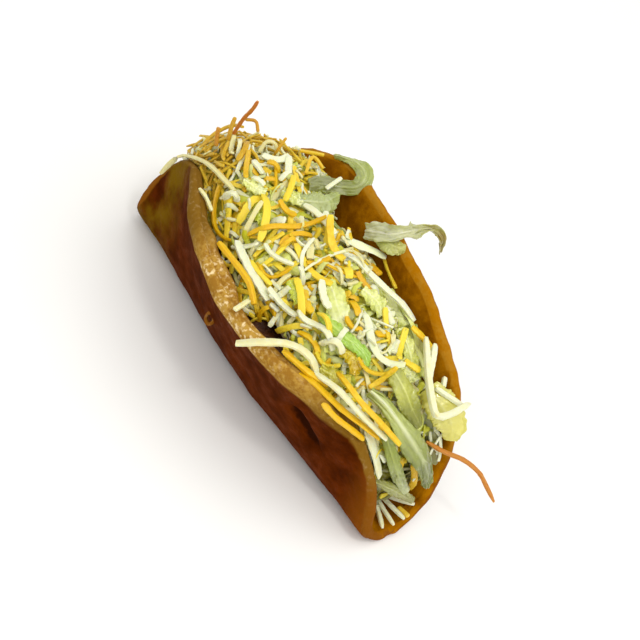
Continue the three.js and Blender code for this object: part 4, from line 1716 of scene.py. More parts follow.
def blade(name: str, skin: LeafSkin, halves: tuple[float, ...], *spine: Point, **more: Any) -> Leaf:
    """Makes a small ruffled piece of lettuce that lies in the heap, facing up.

    Args:
        name: The piece's name.
        skin: Its skin.
        halves: Half its width, at even steps along its spine.
        *spine: The points that its spine passes.
        **more: Other sizes.

    Returns:
        The leaf.
    """
    node = "shredded_lettuce"
    sizes = {"ruffle": 1.2, "waves": 6, "cup": -0.5, "frill": 1.4, "rows": 40, "columns": 14, "crumple": 0.6}
    return Leaf(name, node, spine, halves, (0.3, -0.35, 0.9), skin=skin, slot=node, **{**sizes, **more})


LEAVES = (
    Leaf(
        "far_rim_leaf", "leaf_far_rim",
        ((-44, 39.5, 58.5), (-38.5, 39.5, 62.3), (-33, 39.3, 65.3), (-28, 38.5, 67), (-24, 36, 66.8),
         (-24, 33, 63.6), (-27.5, 30, 61), (-31.5, 24.5, 60.2), (-32, 17.5, 61.3)),
        (0.6, 1.2, 2.0, 3.0, 3.2, 2.8, 3.2, 3.2, 2.2), (0.3, -0.45, 0.85), 0.8, 5, -0.6, GREY_GREEN,
        rows=80, crumple=0.5,
    ),
    Leaf(
        "far_lobe_leaf", "leaf_far_rim",
        ((-26.5, 6.5, 62.8), (-23.6, 9.5, 63.6), (-22, 12.8, 63.8), (-21.5, 17, 63.2), (-23, 22, 61.8),
         (-24.6, 27, 60.8)),
        (1.6, 3.2, 4, 4, 2.8, 1), (0.3, -0.5, 0.8), 0.7, 4, -0.8, LOBE_GREEN, 1.0,
    ),
    Leaf(
        "green_edge_leaf", "leaf_far_rim",
        ((-21.3, 15.9, 61.7), (-18.6, 16.5, 60.9), (-15.6, 16.5, 60), (-12.2, 17.3, 59.2), (-9.3, 18.7, 58.8),
         (-7, 20.8, 58.8)),
        (0.6, 1, 1, 1, 0.9, 0.5), (0.3, -0.5, 0.8), 0.2, 2, -0.3, EDGE_GREEN, 0.3,
    ),
    Leaf(
        "right_rim_leaf", "leaf_right_rim",
        ((-5.5, 25, 61.8), (-1.5, 25.5, 65.6), (3, 26.7, 69), (5.2, 30, 71.3), (5.5, 34, 71), (5, 39, 69.5),
         (5.5, 44, 69), (7.5, 47.5, 68), (9.8, 49.2, 65.6), (11.2, 49.8, 60.5)),
        (2.5, 3.8, 4, 3, 1.8, 3.2, 2, 1.3, 1.4, 1.2, 0.6), (0.3, -0.4, 0.85), 1.2, 5, 0.8, CREAM_GREEN, 0.9,
        rows=80, crumple=0.8,
    ),
    Leaf(
        "rim_lobe_leaf", "leaf_right_rim", ((0.5, 25, 65), (4.5, 25.2, 66.8), (8, 26, 68), (10.5, 28.5, 69)),
        (1.6, 3, 3.2, 1.4), (0.3, -0.4, 0.85), 0.5, 2, -1.2, RIM_GREEN,
    ),
    Leaf(
        "near_corner_leaf", "leaf_near_corner",
        ((55.5, 13, 51.6), (61, 14, 50.4), (65.9, 15.8, 48.2), (69.7, 17, 44.8), (72.6, 16, 41)),
        (4, 5.6, 6, 5.4, 2.2), (0.2, 0.67, 0.43), 0.7, 2, -0.8, YELLOW_GREEN, faces_up=False,
    ),
    Leaf(
        "near_long_leaf", "leaf_near_long",
        ((49.7, -10.3, 53.5), (55.4, -7.1, 52), (61.2, -4.5, 49), (66.4, -1.4, 45), (70.6, 1.9, 40.5),
         (74.3, 4.8, 36), (77.2, 7.5, 30), (78.6, 9.2, 23.5)),
        (1.6, 2.2, 3, 3.6, 4.4, 3.8, 2.6, 1.2), (0.5, -0.35, 0.8), 1.1, 4, -0.9, PALE_GREEN, 0.8,
        rib_width=0.32, crumple=0.6,
    ),
    Leaf(
        "near_low_leaf", "leaf_near_low",
        ((62.4, -8.5, 44.5), (67.6, -7.8, 40.5), (71.2, -6, 35.5), (74.2, -2.8, 29), (76.5, 3, 21)),
        (1.5, 2.2, 2.3, 2.1, 1.4), (0.6, -0.6, 0.5), 0.7, 3, -0.5, LOW_GREEN,
    ),
    Leaf(
        "near_cross_leaf", "leaf_near_low",
        ((70.5, -11, 28), (73.2, -6, 25.5), (76, 1, 20.5), (78.5, 7.5, 15.8)),
        (1.2, 1.9, 1.9, 1.2), (0.75, -0.4, 0.5), 0.4, 3, -0.4, CROSS_GREEN,
    ),
    Leaf(
        "centre_leaf", "leaf_centre",
        ((19.5, -11.6, 58.2), (24, -11.6, 59.2), (28, -11, 59.7), (32, -9.9, 59.7), (35.4, -8.3, 59.4),
         (39.1, -7, 58.3), (42.3, -7.4, 56.2)),
        (1.4, 2.1, 2.3, 2.3, 2.3, 2.1, 1.2), (0.3, -0.35, 0.9), 0.7, 7, -0.6, BRIGHT_GREEN, 1.1,
    ),
    Leaf(
        "near_side_leaf", "leaf_near_side",
        ((46, -1, 58.4), (50.6, -0.4, 57.4), (55.4, 0.6, 55), (60.1, 2, 51), (65.3, 5, 45.5)),
        (2.2, 3.4, 3.8, 3.6, 1.8), (0.4, -0.3, 0.85), 0.8, 3, -0.7, OLIVE_GREEN,
    ),
    blade("gold_blade", GOLD_BLADE, (1.6, 2.6, 2.6, 1.4), (33.6, -12.7, 56.5), (36.3, -10.8, 56.8),
          (39.8, -10.4, 56), (42.1, -12.1, 53.5), frill=0.4),
    blade("olive_blade", OLIVE_BLADE, (1.8, 2.8, 2.8, 1.6), (34.7, -20.7, 51.8), (38.3, -19.1, 52.4),
          (41.7, -16.9, 52.8), (43.4, -13.9, 53.1), frill=0.4),
    blade("middle_frill", FRILL_BLADE, (2.2, 3.6, 4.2, 3.8, 2.2), (8, -2, 60), (12.5, -3, 60.3),
          (17, -4.5, 59.8), (22, -6, 58.8), (26, -8, 58)),
    blade("right_frill_a", STRIP_BLADE, (1.6, 2.4, 2.4, 2.4, 1.4), (26, 21, 55.5), (32.5, 20.8, 55),
          (38.7, 19.4, 54.2), (44.5, 18.4, 51.8), (50.5, 15, 50.5)),
    blade("right_frill_b", STRIP_BLADE, (1.8, 2.6, 2.4, 1.4), (34, 12.5, 58.6), (41, 11.8, 57.4),
          (46.3, 10.6, 55.4), (52, 8.5, 53.4)),
    blade("right_frill_c", FRILL_BLADE, (1.8, 2.8, 2.8, 1.6), (14, 17, 58.8), (21, 19, 57.3),
          (26.6, 19.4, 56.4), (32.5, 18.3, 55.8)),
    blade("right_frill_d", FRILL_BLADE, (1.8, 3.0, 1.8), (17, 6.5, 62.4), (23, 8.6, 62.1), (28.5, 8.2, 61)),
    blade("crown_frill", FRILL_BLADE, (1.8, 2.8, 1.8), (45, 5.5, 57.2), (49, 7.2, 55.6), (52.5, 8.2, 53.6)),
    blade("left_blade", FRESH_BLADE, (1.4, 2.2, 1.4), (2, -13.5, 57.4), (7.1, -14.6, 57.8),
          (11.4, -15.8, 56.8)),
    blade("far_blade", FRESH_BLADE, (1.2, 2.0, 1.2), (-27.9, -10.1, 61.5), (-22.6, -10.4, 61),
          (-17.7, -10.6, 60)),
    blade("far_frill_a", FRILL_BLADE, (1.4, 2.4, 1.4), (-41, -6.5, 61.5), (-36.4, -4.8, 62),
          (-32.5, -2.6, 62.4)),
    blade("far_frill_b", FRILL_BLADE, (1.4, 2.6, 1.6), (-31, 3.6, 63), (-27, 6, 63.3), (-23.6, 8, 63.2)),
)


# ---- the meat


@dataclass
class MeatBed:
    """The crumbled meat under the heap."""

    voxel: float = 1.3
    lump: float = 1.3
    lump_size: float = 3.4
    lump_middle: float = 0.45
    shading_angle: float = 80.0

    def build(self, finish: Material) -> None:
        """Makes the bed lumpy.

        Args:
            finish: The meat's finish.
        """
        piece = Bench.copy_of("meat_bed", "ground_meat")
        Bench.remesh(piece, self.voxel)
        points = Bench.points(piece)
        normals = Bench.normals(piece)
        crumbs = np.array([noise.voronoi(Vector(p / self.lump_size))[0][0] for p in points])
        lift = self.lump * (self.lump_middle - crumbs) * rise(normals[:, 2], -0.2, 0.3)
        Bench.move_to(piece, points + normals * lift[:, None])
        Bench.smooth(piece, self.shading_angle)
        Bench.dress(piece, finish, "seasoned_meat", "ground_meat")


# ---- the studio


@dataclass
class Studio:
    """The pale floor, the soft lights and the camera."""

    target: Point = (0.0, 0.0, 32.3)
    azimuth: float = 0.5999
    elevation: float = 0.7957
    roll: float = 0.4916
    distance: float = 496.97
    focal_pixels: float = 1370.0
    frame_pixels: float = 640.0
    target_pixel: Span = (292.66, 311.17)
    sensor: float = 36.0
    nearest: float = 0.01
    floor_size: float = 4.0
    daylight: float = 0.78

    def build(self) -> None:
        """Sets up the floor, the lights and the camera."""
        self._floor()
        self._camera()
        self._light("key", (0.34, 0.02, 0.95), 1.5, 6.8, (1.0, 0.985, 0.95))
        self._light("spark", (0.36, -0.12, 0.9), 0.12, 1.3, (1.0, 0.99, 0.96))
        self._light("fill", (0.5, -0.7, 0.7), 0.8, 1.0, (1.0, 0.99, 0.97))
        world = bpy.data.worlds.new("studio")
        world.use_nodes = True
        colour, strength = world.node_tree.nodes["Background"].inputs[:2]
        colour.default_value = (1.0, 1.0, 1.0, 1.0)
        strength.default_value = self.daylight
        bpy.context.scene.world = world
        bpy.context.scene.view_settings.view_transform = "Standard"

    def _floor(self) -> None:
        """Lays the floor under the taco."""
        Bench.clear()
        bpy.ops.mesh.primitive_plane_add(size=self.floor_size)
        floor = bpy.context.active_object
        floor.name = "studio_floor"
        floor.data.materials.append(PalePaint().make())

    def _light(self, name: str, place: Point, size: float, power: float, colour: Point) -> None:
        """Hangs a square soft light that faces the taco.

        Args:
            name: The light's name.
            place: Where it hangs, in metres.
            size: The length of its sides, in metres.
            power: Its power in watts.
            colour: Its colour.
        """
        data = bpy.data.lights.new(name, "AREA")
        data.size = size
        data.energy = power
        data.color = colour
        light = bpy.data.objects.new(name, data)
        light.location = place
        aim = Vector(self.target) * MM - Vector(place)
        light.rotation_euler = aim.to_track_quat("-Z", "Y").to_euler()
        bpy.context.scene.collection.objects.link(light)

    def _camera(self) -> None:
        """Stands the camera above the near end, looking down and tilted."""
        data = bpy.data.cameras.new("view")
        data.sensor_width = self.sensor
        data.lens = self.focal_pixels / self.frame_pixels * self.sensor
        data.shift_x = (self.frame_pixels / 2 - self.target_pixel[0]) / self.frame_pixels
        data.shift_y = (self.target_pixel[1] - self.frame_pixels / 2) / self.frame_pixels
        data.clip_start = self.nearest
        back = Vector((
            math.sin(self.azimuth) * math.cos(self.elevation),
            -math.cos(self.azimuth) * math.cos(self.elevation),
            math.sin(self.elevation),
        ))
        level = Vector((math.cos(self.azimuth), math.sin(self.azimuth), 0))
        upright = back.cross(level)
        right = level * math.cos(self.roll) + upright * math.sin(self.roll)
        upward = back.cross(right)
        camera = bpy.data.objects.new("view", data)
        turn = (right[:], upward[:], back[:])
        place = (Vector(self.target) + back * self.distance) * MM
        rows = [[turn[0][k], turn[1][k], turn[2][k], place[k]] for k in range(3)] + [[0, 0, 0, 1]]
        camera.matrix_world = Matrix(rows)
        bpy.context.scene.collection.objects.link(camera)
        bpy.context.scene.camera = camera


# ---- the filling


class Kind(Enum):
    """What a shred is cut from."""

    ORANGE = "orange_cheese"
    WHITE = "white_cheese"
    LETTUCE = "lettuce_shreds"


@dataclass(frozen=True)
class Strand:
    """One shred along a given way, in millimetres: its way is over the heap as (x, y), or free as (x, y, z).
    """

    kind: Kind
    width: float
    way: tuple[tuple[float, ...], ...]
    thickness: float = 1.05
    tone: float = 0.5
    toasted: float = 0.0


def orange(width: float, *way: tuple[float, ...], **more: float) -> Strand:
    """A shred of orange cheese."""
    return Strand(Kind.ORANGE, width, way, **more)


def white(width: float, *way: tuple[float, ...], **more: float) -> Strand:
    """A shred of white cheese."""
    return Strand(Kind.WHITE, width, way, **more)


def rib(width: float, *way: tuple[float, ...], **more: float) -> Strand:
    """A strip of pale lettuce."""
    return Strand(Kind.LETTUCE, width, way, **{"thickness": 0.9, "tone": 0.1, **more})


FAR_STRANDS = (
    orange(1.4, (-70, -2), (-71, 3), (-71, 8), (-65, 9)),
    orange(1.4, (-66, -4), (-65, -1), (-62, 2), tone=0.6),
    orange(1.4, (-62, 2), (-57, -4), (-53, -7)),
    white(1.8, (-61, 2), (-54, -3), tone=0.3),
    white(1.5, (-60, 4), (-53, -1)),
    orange(2.0, (-57, 5), (-51, -1), (-50, -4), tone=0.2),
    orange(1.8, (-50, 0), (-45, -3), (-41, -6), tone=0.3),
    white(2.8, (-47, 1), (-41, 2), tone=0.9),
    orange(2.1, (-44, 5), (-40, 9), tone=0.3),
    white(2.5, (-48, 6), (-44, 10), (-45, 16), tone=0.7),
    white(2.5, (-44, 15), (-37, 10), tone=0.8),
    white(1.8, (-37, 10), (-36, 6), tone=0.8),
    white(1.8, (-40, -4), (-35, -2), tone=0.8),
    orange(1.4, (-62, 2, 60), (-61.8, 4, 69), (-60.4, 5, 75), (-60, 5.5, 79.3), toasted=0.8, thickness=1.1),
    orange(1.1, (-61, 4.5, 69.5), (-58, 6.5, 71), (-55.5, 7, 68), toasted=0.4, thickness=1.0),
    orange(1.5, (-61, 0, 60), (-62, 0, 66), (-63, 1, 69.5), toasted=0.2),
    orange(1.4, (-62, -3.5, 57), (-63.5, -3.5, 60), (-65, -3, 63.5), toasted=0.5),
    orange(1.0, (-48, 12, 62), (-47.5, 12, 66), (-48, 14, 70.5), thickness=0.9, toasted=0.3),
    white(1.4, (-51, 7, 62), (-52, 9.5, 65.5), (-50, 12, 66), (-47, 12.5, 62.5), tone=0.2),
    orange(1.3, (-36, 18, 63), (-41, 24, 65), (-35, 25, 64.5), toasted=0.2),
    orange(1.3, (-47, 23, 62.5), (-42, 31, 63)),
    white(2.2, (-77.5, -9.5, 28), (-75, -8.8, 37), (-70, -9, 45.5), (-57, -10.5, 55), (-46, -11, 58),
          (-39, -11, 59), tone=0.1),
)

UPPER_STRANDS = (
    orange(2.1, (-35, 11), (-30, 6), (-26, 1), tone=0.9),
    orange(1.8, (-46, -12), (-38, -17), (-31, -19), (-24, -19), tone=0.2),
    white(2.5, (-39, -15), (-35, -12), tone=0.6),
    orange(2.8, (-28, -15), (-31, -10), (-32, -6), (-31, -4), tone=0.8),
    orange(2.6, (-32, -4), (-26, -7), (-19, -12), (-16, -15), tone=1.0),
    white(2.8, (-22, -6), (-18, -4), tone=0.9),
    orange(2.1, (-26, -2), (-23, -1), (-18, 0), tone=0.1),
    white(1.8, (-28, -8), (-25, -13), (-21, -18), tone=0.0),
    white(2.4, (-18, 15), (-9, 9), tone=0.8),
    white(2.2, (-22, 7), (-16, 8), (-11, 8), (-5, 8), tone=0.6),
    orange(1.9, (-21, -16), (-18, -11), (-16, -4), (-15, 2), (-12, 8), tone=0.0),
    orange(1.8, (-11, -10), (-13, -4), (-11, 4), tone=0.1),
    orange(1.5, (-10, -11), (-10, -6), (-10, -2), tone=0.3),
    orange(2.7, (-10, 7), (-1, 6), (4, 7)),
    orange(2.2, (-9, -5), (-3, -5), (2, -5), (11, -3), tone=0.6),
    orange(1.8, (-1, -5), (2, 2), tone=0.0),
    white(2.7, (-9, 2), (-2, -3), tone=0.2),
    white(2.7, (-22, -20), (-15, -17), tone=0.7),
    white(1.8, (-14, -14), (-8, -14), (-4, -11), (-2, -10), tone=0.7),
    orange(1.8, (-12, -20), (-6, -20), (0, -19), tone=0.9),
    orange(1.5, (-8, -19), (-3, -17), (-1, -12), tone=0.1),
    white(3.4, (-21, -20), (-12, -22), (-5, -22), (4, -22), tone=0.8, thickness=1.1),
    white(1.8, (0, -12), (1, -17), (3, -19), tone=0.2),
    white(1.8, (0, -9), (5, -9), tone=0.8),
)

MIDDLE_STRANDS = (
    orange(3.0, (6, 7), (11, 5), tone=0.8),
    orange(2.5, (3, -12), (8, -14), (16, -17), tone=1.0),
    orange(2.7, (6, -9), (12, -13), (17, -14), tone=0.4),
    white(2.7, (8, -5), (14, -8), (19, -9), tone=1.0),
    orange(2.1, (18, -12), (24, -13), (29, -14), tone=0.7),
    white(2.1, (4, -22), (4, -20), (5, -16), tone=0.6),
    white(2.4, (1, -21), (9, -19), (15, -19), tone=0.7),
    white(1.8, (8, -18, 50), (9, -20.5, 48.5), (10.5, -23.5, 46)),
    white(1.5, (9, -18, 49.5), (14, -21.5, 47.5), tone=0.1),
    orange(2.1, (19, -19), (23, -18), (27, -18), (30, -19), tone=0.3),
    orange(2.0, (22, -25.5, 49), (26, -28, 51), (30.5, -26.5, 51.5), (31.5, -22.5, 51.5), tone=0.7),
    white(2.1, (15, -19), (18, -17), (21, -15), (26, -15), (32, -15), tone=0.6),
    white(1.8, (29, -9), (31, -14), tone=0.6),
    orange(1.5, (30, -20), (34, -17), (37, -14), tone=0.9),
    white(2.4, (28, -17), (31, -15), (35, -13.5)),
    orange(2.1, (24, -5), (28, -5), (30, -2), tone=0.0),
    orange(2.4, (18, 2), (25, 0), tone=0.3),
    white(1.5, (30, -6), (33, -3), tone=0.1),
    orange(2.0, (10, 9), (15, 10), (18, 12), tone=0.1, toasted=0.15),
    white(2.1, (16, 12), (20, 13), tone=1.0),
    orange(2.3, (25, -30.5, 54), (34, -27.5, 53.5), (42, -22.5, 52), tone=0.3, thickness=1.4),
    orange(2.7, (34, -29, 52), (42, -26.4, 52.8), (50.7, -22.6, 51), (57.6, -17.8, 48.8), (63.2, -12.3, 45),
           tone=0.2),
    white(2.4, (36, -24.5, 53), (45.7, -22.6, 55.4), (51.9, -20.3, 54), (58.8, -16.8, 51.4),
          (65.8, -12.2, 48)),
    orange(1.8, (40, -11), (44, -7), (49, -2), tone=0.4),
    orange(1.8, (49, -2), (48, -6), (48, -9), tone=0.4),
    orange(2.0, (39, -16.5, 53), (45.8, -18.5, 56), (53.3, -17.4, 55), (61.9, -13.8, 52.6),
           (69.6, -9.4, 48.6), tone=0.35),
)

RIGHT_STRANDS = (
    rib(3.4, (-10, 11, 62), (-5, 14, 62.5), (0, 17.5, 63), (4, 22, 62.5), (7.5, 25, 62)),
    rib(2.8, (26, 2), (34, -1), (39, -2), (44, -1), (49, 2)),
    rib(2.2, (35, 16), (42, 17), (48, 17), tone=0.4),
    rib(2.2, (25, 20), (33, 20), (41, 18), tone=0.5),
    orange(2.5, (6, 20, 58.5), (12, 20, 59.5), tone=0.2, toasted=0.2),
    orange(1.8, (0, 28, 63.5), (7, 26.3, 59.5), (18.5, 23.5, 58)),
    orange(2.8, (34, 1), (35, 6), tone=0.2),
    orange(1.8, (35, 5), (39, 5)),
    orange(2.5, (42, 0), (45, 3), tone=0.9),
    white(2.1, (38, 9), (42, 4), tone=0.6),
    orange(2.1, (36, 13), (41, 8), (46, 2), tone=1.0),
    orange(2.4, (46, 6), (51, 10), tone=0.6),
    white(2.1, (25, 12), (32, 11), tone=0.7),
    orange(1.8, (27, 9), (33, 7), tone=0.8),
    orange(2.6, (36, 16, 60.5), (41, 19, 58.5), (47, 20.8, 56.5), tone=0.4),
    white(3.0, (2, 9), (4, 11), tone=0.6),
    white(2.3, (2, 10, 63), (6, 12, 63.5), (11, 12.5, 63.5), (16, 14, 63), (21, 15.5, 62.5), (26.5, 19, 60.5),
          (33, 21, 58), tone=0.7),
    white(1.6, (-29, 24), (-30, 31), tone=0.7),
)

RIM_STRANDS = (
    white(2.8, (15.5, -43, 51.5), (20.8, -36.8, 56), (25.3, -29, 57), (31, -25, 56.5), (34, -23.5, 54),
          (37, -23, 51), tone=0.4, thickness=1.3),
    white(1.8, (5.2, -38.2, 55), (3.7, -31.3, 55.5), tone=0.3),
    white(1.4, (-46, -21, 56), (-42, -20.5, 55.5), (-36, -21.5, 55), tone=0.3),
    orange(2.1, (-22, -27.5, 55.5), (-9, -27.5, 56.5), (-2, -27.5, 56), (4.6, -29, 53.5), tone=0.2,
           thickness=1.8),
)

NEAR_STRANDS = (
    orange(2.0, (46.5, -27.5, 51), (52.2, -25.6, 49.6), (57.4, -21.8, 47.8), (61.4, -17.6, 45), tone=0.2),
    orange(2.4, (67, -1, 40.5), (72, 2, 35), (74.5, 6, 25), (74, 9, 16), tone=0.2),
    white(4.2, (58, -14, 45.5), (65, -12.8, 39.5), (71, -11, 32), tone=0.55, thickness=1.0),
)

LAID_STRANDS = UPPER_STRANDS + FAR_STRANDS + MIDDLE_STRANDS + RIGHT_STRANDS + RIM_STRANDS + NEAR_STRANDS


@dataclass(frozen=True)
class Batch:
    """Shreds of one kind and cut that are scattered together, some of them above the usual limit."""

    kind: Kind
    cut: Cut
    count: int
    part: str
    above: float = 0.0


@dataclass(frozen=True)
class Spread:
    """How much of one kind lies in the middle, and what the heap's sides and ends add or take."""

    middle: float
    right: float
    near: float = 0.0
    less_near: float = 0.0
    less_far: float = 0.0
    less_low: float = 0.0


LETTUCE_CUT = Cut((7, 22), (1.4, 4.0), (0.4, 0.7), 1.4, 0.22, 4, 1.6, 0.9, 0.10, 0.4)
BLADE_CUT = Cut((6, 14), (3.0, 6.0), (0.3, 0.5), 0.9, 0.2, 3, 1.2, 0.9, 0.16, 0.5)
SCRAP_CUT = Cut((3, 9), (0.9, 2.4), (0.3, 0.6), 1.2, 0.3, 3, 1.2, 0.9, 0.1, 0.4)
CHEESE_CUT = Cut((7, 22), (1.1, 2.2), (0.6, 1.0), 0.9, 0.06, 2, 1.0, 0.35)
FINE_CUT = Cut((8, 20), (0.7, 1.3), (0.6, 0.9), 1.4, 0.08, 2, 1.6, 0.5)
CRUMB_CUT = Cut((1.8, 5), (0.7, 1.9), (0.6, 1.2), 0.6, 0.2, 1, 0.6, 0.8)
LAID_CUT = Cut(twist=0.3)
LOOSE_CUT = Cut(twist=0.25)

BED = (Batch(Kind.LETTUCE, LETTUCE_CUT, 420, "lettuce"),)
ROUND = (
    Batch(Kind.ORANGE, FINE_CUT, 60, "far"),
    Batch(Kind.WHITE, FINE_CUT, 12, "far"),
    Batch(Kind.ORANGE, CHEESE_CUT, 46, "orange"),
    Batch(Kind.WHITE, CHEESE_CUT, 22, "white"),
    Batch(Kind.LETTUCE, LETTUCE_CUT, 44, "lettuce"),
)
CROWN = (
    Batch(Kind.LETTUCE, BLADE_CUT, 50, "lettuce"),
    Batch(Kind.LETTUCE, SCRAP_CUT, 130, "scraps", 1.0),
    Batch(Kind.WHITE, CHEESE_CUT, 40, "white", 1.0),
    Batch(Kind.ORANGE, CHEESE_CUT, 90, "upper", 1.0),
)
SPRINKLE = (
    Batch(Kind.WHITE, FINE_CUT, 110, "tangle", 1.5),
    Batch(Kind.WHITE, CRUMB_CUT, 160, "white_crumbs", 1.0),
    Batch(Kind.ORANGE, CRUMB_CUT, 60, "orange_crumbs", 1.0),
    Batch(Kind.LETTUCE, SCRAP_CUT, 110, "scraps", 2.0),
)


@dataclass
class Filling:
    """All the shreds of lettuce and cheese over the core."""

    seed: int = 7
    limit: float = 6.2
    rounds: int = 6
    candidates: int = 3
    near_end: Span = (58.0, 70.0)
    far_end: Span = (-58.0, -40.0)
    right_side: Span = (0.66, 0.86)
    low_end: Span = (30.0, 40.0)
    left_side: Span = (0.14, 0.28)
    left_span: Window = (-60.0, -48.0, -6.0, 4.0)
    white_rise: Span = (0.0, 25.0)
    upper_end: Span = (14.0, 34.0)
    tangle_side: Span = (0.35, 0.6)
    tangle_rise: Span = (-24.0, -6.0)
    lettuce_spread: Spread = Spread(0.6, 0.8, near=0.6, less_far=0.7, less_low=0.85)
    scrap_spread: Spread = Spread(0.7, 0.6, less_near=0.9, less_far=0.9)
    orange_spread: Spread = Spread(1.0, -0.85, less_near=0.97, less_far=1.0)
    white_spread: Spread = Spread(1.0, -0.2, less_near=0.98, less_far=1.0)
    laid_stations: int = 15
    laid_uneven: float = 0.11

    def build(self, layer: Layer, cheese: Material, lettuce: Material) -> None:
        """Lays the shreds from the bottom up and joins each kind.

        Args:
            layer: What lays them over the core.
            cheese: The cheese's finish.
            lettuce: The lettuce's finish.
        """
        rng = np.random.default_rng(self.seed)
        scattered = {
            Kind.LETTUCE: Shredder(Profile.STRIP),
            Kind.ORANGE: Shredder(Profile.BAR),
            Kind.WHITE: Shredder(Profile.BAR),
        }
        shares = self._shares(layer)
        for batch in BED + ROUND * self.rounds + CROWN:
            self._scatter(batch, scattered[batch.kind], layer, shares[batch.part], rng)
        laid = self._lay_by_hand(layer, rng)
        for batch in SPRINKLE:
            self._scatter(batch, scattered[batch.kind], layer, shares[batch.part], rng)
        for prefix, shredders in (("", scattered), ("laid_", laid)):
            for kind, shredder in shredders.items():
                piece = shredder.finish(prefix + kind.value)
                if kind is Kind.LETTUCE:
                    Bench.dress(piece, lettuce, "shredded_lettuce", "shredded_lettuce")
                else:
                    Bench.dress(piece, cheese, "grated_cheese", "shredded_cheese")

    def _shares(self, layer: Layer) -> dict[str, Array]:
        """Finds how likely each spot of the core is to get a shred of each kind.

        Args:
            layer: What knows the spots.

        Returns:
            One number for each spot, for each part.
        """
        across = np.array([layer.across(spot) for spot in layer.spots])
        x = layer.spots[:, 0]
        near = rise(x, *self.near_end)
        far = 1 - rise(x, *self.far_end)
        right = rise(across, *self.right_side)
        low = near * (1 - rise(layer.spots[:, 2], *self.low_end))

        def spread(rule: Spread) -> Array:
            """Spreads one kind by its rule."""
            share = layer.weights * (rule.middle + rule.right * right + rule.near * near)
            return share * (1 - rule.less_near * near) * (1 - rule.less_far * far) * (1 - rule.less_low * low)

        clear = 1 - window(x, self.left_span) * (1 - rise(across, *self.left_side))
        orange_share = spread(self.orange_spread) * clear
        white_share = spread(self.white_spread) * (0.5 + 0.5 * rise(x, *self.white_rise)) * clear
        far_share = layer.weights * far
        tangle = rise(across, *self.tangle_side)
        return {
            "lettuce": spread(self.lettuce_spread) * clear,
            "scraps": spread(self.scrap_spread) * clear,
            "orange": orange_share,
            "white": white_share,
            "far": far_share,
            "upper": orange_share * (1 - rise(x, *self.upper_end)),
            "tangle": white_share * tangle * rise(x, *self.tangle_rise),
            "orange_crumbs": orange_share + far_share,
            "white_crumbs": white_share + far_share,
        }

    def _scatter(self, batch: Batch, shredder: Shredder, layer: Layer, share: Array, rng: Dice) -> None:
        """Lays up to a batch's count of shreds, most of them where their share is largest.

        Args:
            batch: The batch.
            shredder: What joins the shreds of its kind.
            layer: What lays them.
            share: How likely each spot is to get one.
            rng: The source of their places.
        """
        chance = share / share.sum()
        marks = {}
        if batch.kind is not Kind.LETTUCE:
            marks = {"white": float(batch.kind is Kind.WHITE), "toasted": 0.0}
        laid = 0
        for _ in range(batch.count):
            picks = layer.spots[rng.choice(len(layer.spots), self.candidates, p=chance)]
            toned = {**marks, "tone": rng.random()}
            laid += layer.lay(shredder, batch.cut, rng, picks, self.limit + batch.above, toned)
        LOG.info("%s: laid %d of %d", batch.part, laid, batch.count)

    def _lay_by_hand(self, layer: Layer, rng: Dice) -> dict[Kind, Shredder]:
        """Lays the strands that have a way of their own.

        Args:
            layer: What lays them.
            rng: The source of their unevenness.

        Returns:
            What joins them, by kind.
        """
        stations = tuple(np.linspace(0, 1, self.laid_stations))
        shredders = {
            kind: Shredder(
                Profile.STRIP if kind is Kind.LETTUCE else Profile.BAR, stations, tip=0.85,
                uneven=self.laid_uneven, end_share=(0.65, 1.0), taper_reach=0.12,
            )
            for kind in Kind
        }
        for strand in LAID_STRANDS:
            layer.place(shredders[strand.kind], strand, rng, LAID_CUT)
        return shredders


@dataclass(frozen=True)
class LooseShreds:
    """Shreds that stand apart from the heap, each along its own path."""

    name: str
    node: str
    strands: tuple[Strand, ...]
    seed: int = 3
    steps: int = 60
    stations: int = 25
    steepest: float = 0.8
    tones: Span = (0.5, 0.9)

    def build(self, finish: Material) -> None:
        """Makes the shreds from their paths.

        Args:
            finish: The cheese's finish.
        """
        rng = np.random.default_rng(self.seed)
        stations = tuple(np.linspace(0, 1, self.stations))
        shredder = Shredder(
            Profile.BAR, stations, tip=0.75, uneven=0.09, end_share=(0.5, 0.9), taper_reach=0.15
        )
        for strand in self.strands:
            path = spline(strand.way, self.steps)
            over = away_from_below(path, self.steepest, (0.0, 1.0, 0.0))
            marks = {"white": float(strand.kind is Kind.WHITE), "toasted": strand.toasted}
            marks["tone"] = rng.uniform(*self.tones)
            shredder.add(path, over, strand.width, strand.thickness, rng, LOOSE_CUT, marks)
        Bench.dress(shredder.finish(self.name), finish, "grated_cheese", self.node)


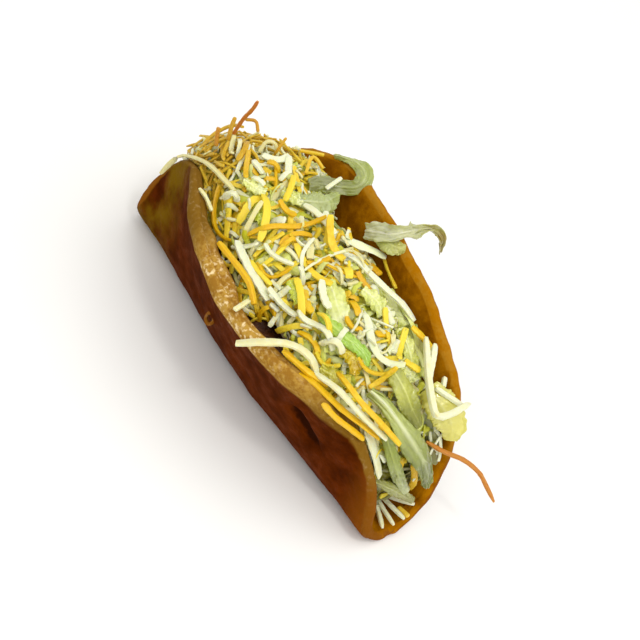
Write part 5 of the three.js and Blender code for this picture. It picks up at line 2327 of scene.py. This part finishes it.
LOOSE = (
    LooseShreds(
        "looped_cheese", "cheese_loop",
        (
            white(2.1, (42, 17.6, 61.2), (49.9, 12.5, 60.2), (56.4, 9.2, 58.2), (66.5, 7, 53.5),
                  (68.5, 12.5, 54), (68, 18.5, 54.3), (67, 23.5, 52), thickness=1.9),
            white(2.1, (45.2, 19.8, 60.3), (50.1, 15, 59.9), (56.4, 10, 56.5), (66.5, 7.5, 51.5),
                  thickness=1.8),
            white(1.7, (57.5, 14, 53.5), (62, 17, 52.8), (66.8, 20.5, 52), thickness=1.5),
            white(1.6, (55, 20.5, 53.5), (58, 17.5, 53), thickness=1.4),
        ),
    ),
    LooseShreds(
        "jutting_cheese", "cheese_over_rim",
        (
            orange(1.6, (68, 10, 37.5), (73.5, 14.5, 36.5), (79, 20.5, 35.5), (84.5, 24.8, 33),
                   (88.5, 27, 29.5), (94, 29.3, 25), toasted=0.8, thickness=1.2),
        ),
    ),
    LooseShreds(
        "fold_cheese", "cheese_in_fold",
        (
            white(1.5, (65, 1, 7.2), (73, -1, 7), (80, -4, 7.2), thickness=1.3),
            white(1.4, (65, 2, 7.2), (73, 1, 7.4), (81, 0.2, 8), thickness=1.2),
            white(1.5, (64, 3, 7.4), (73, 3.5, 8.4), (81, 4.5, 9.4), thickness=1.3),
            white(1.5, (64, 2, 7.4), (72, 6, 9), (78.5, 10, 12), thickness=1.3),
            orange(1.6, (76, 5.5, 9), (81, 6.4, 9.8), toasted=0.3, thickness=1.3),
        ),
    ),
)


# ---- the taco


def main() -> None:
    """Builds the studio and the taco, piece by piece."""
    logging.basicConfig(level=logging.INFO, format="%(name)s %(message)s")
    Bench.clear()
    Studio().build()
    tortilla = Tortilla()
    fried = FriedTortilla().make()
    shell = Bench.surface(tortilla.build(fried))
    tortilla.curled_blister(fried)
    MeatBed().build(SeasonedMeat().make())
    cheese = GratedCheese().make()
    lettuce = ShreddedLettuce().make()
    core = HeapCore()
    core.build(shell)
    leaves = [leaf.build() for leaf in LEAVES]
    low, high = CAD_BOX
    pile = Pile([number / MM for number in low], [number / MM for number in high])
    layer = Layer(core.piece, shell, pile, Bench.surface(*leaves))
    core.dress(shell, PACKED_LETTUCE.make())
    Filling().build(layer, cheese, lettuce)
    for loose in LOOSE:
        loose.build(cheese)


if __name__ == "__main__":
    main()
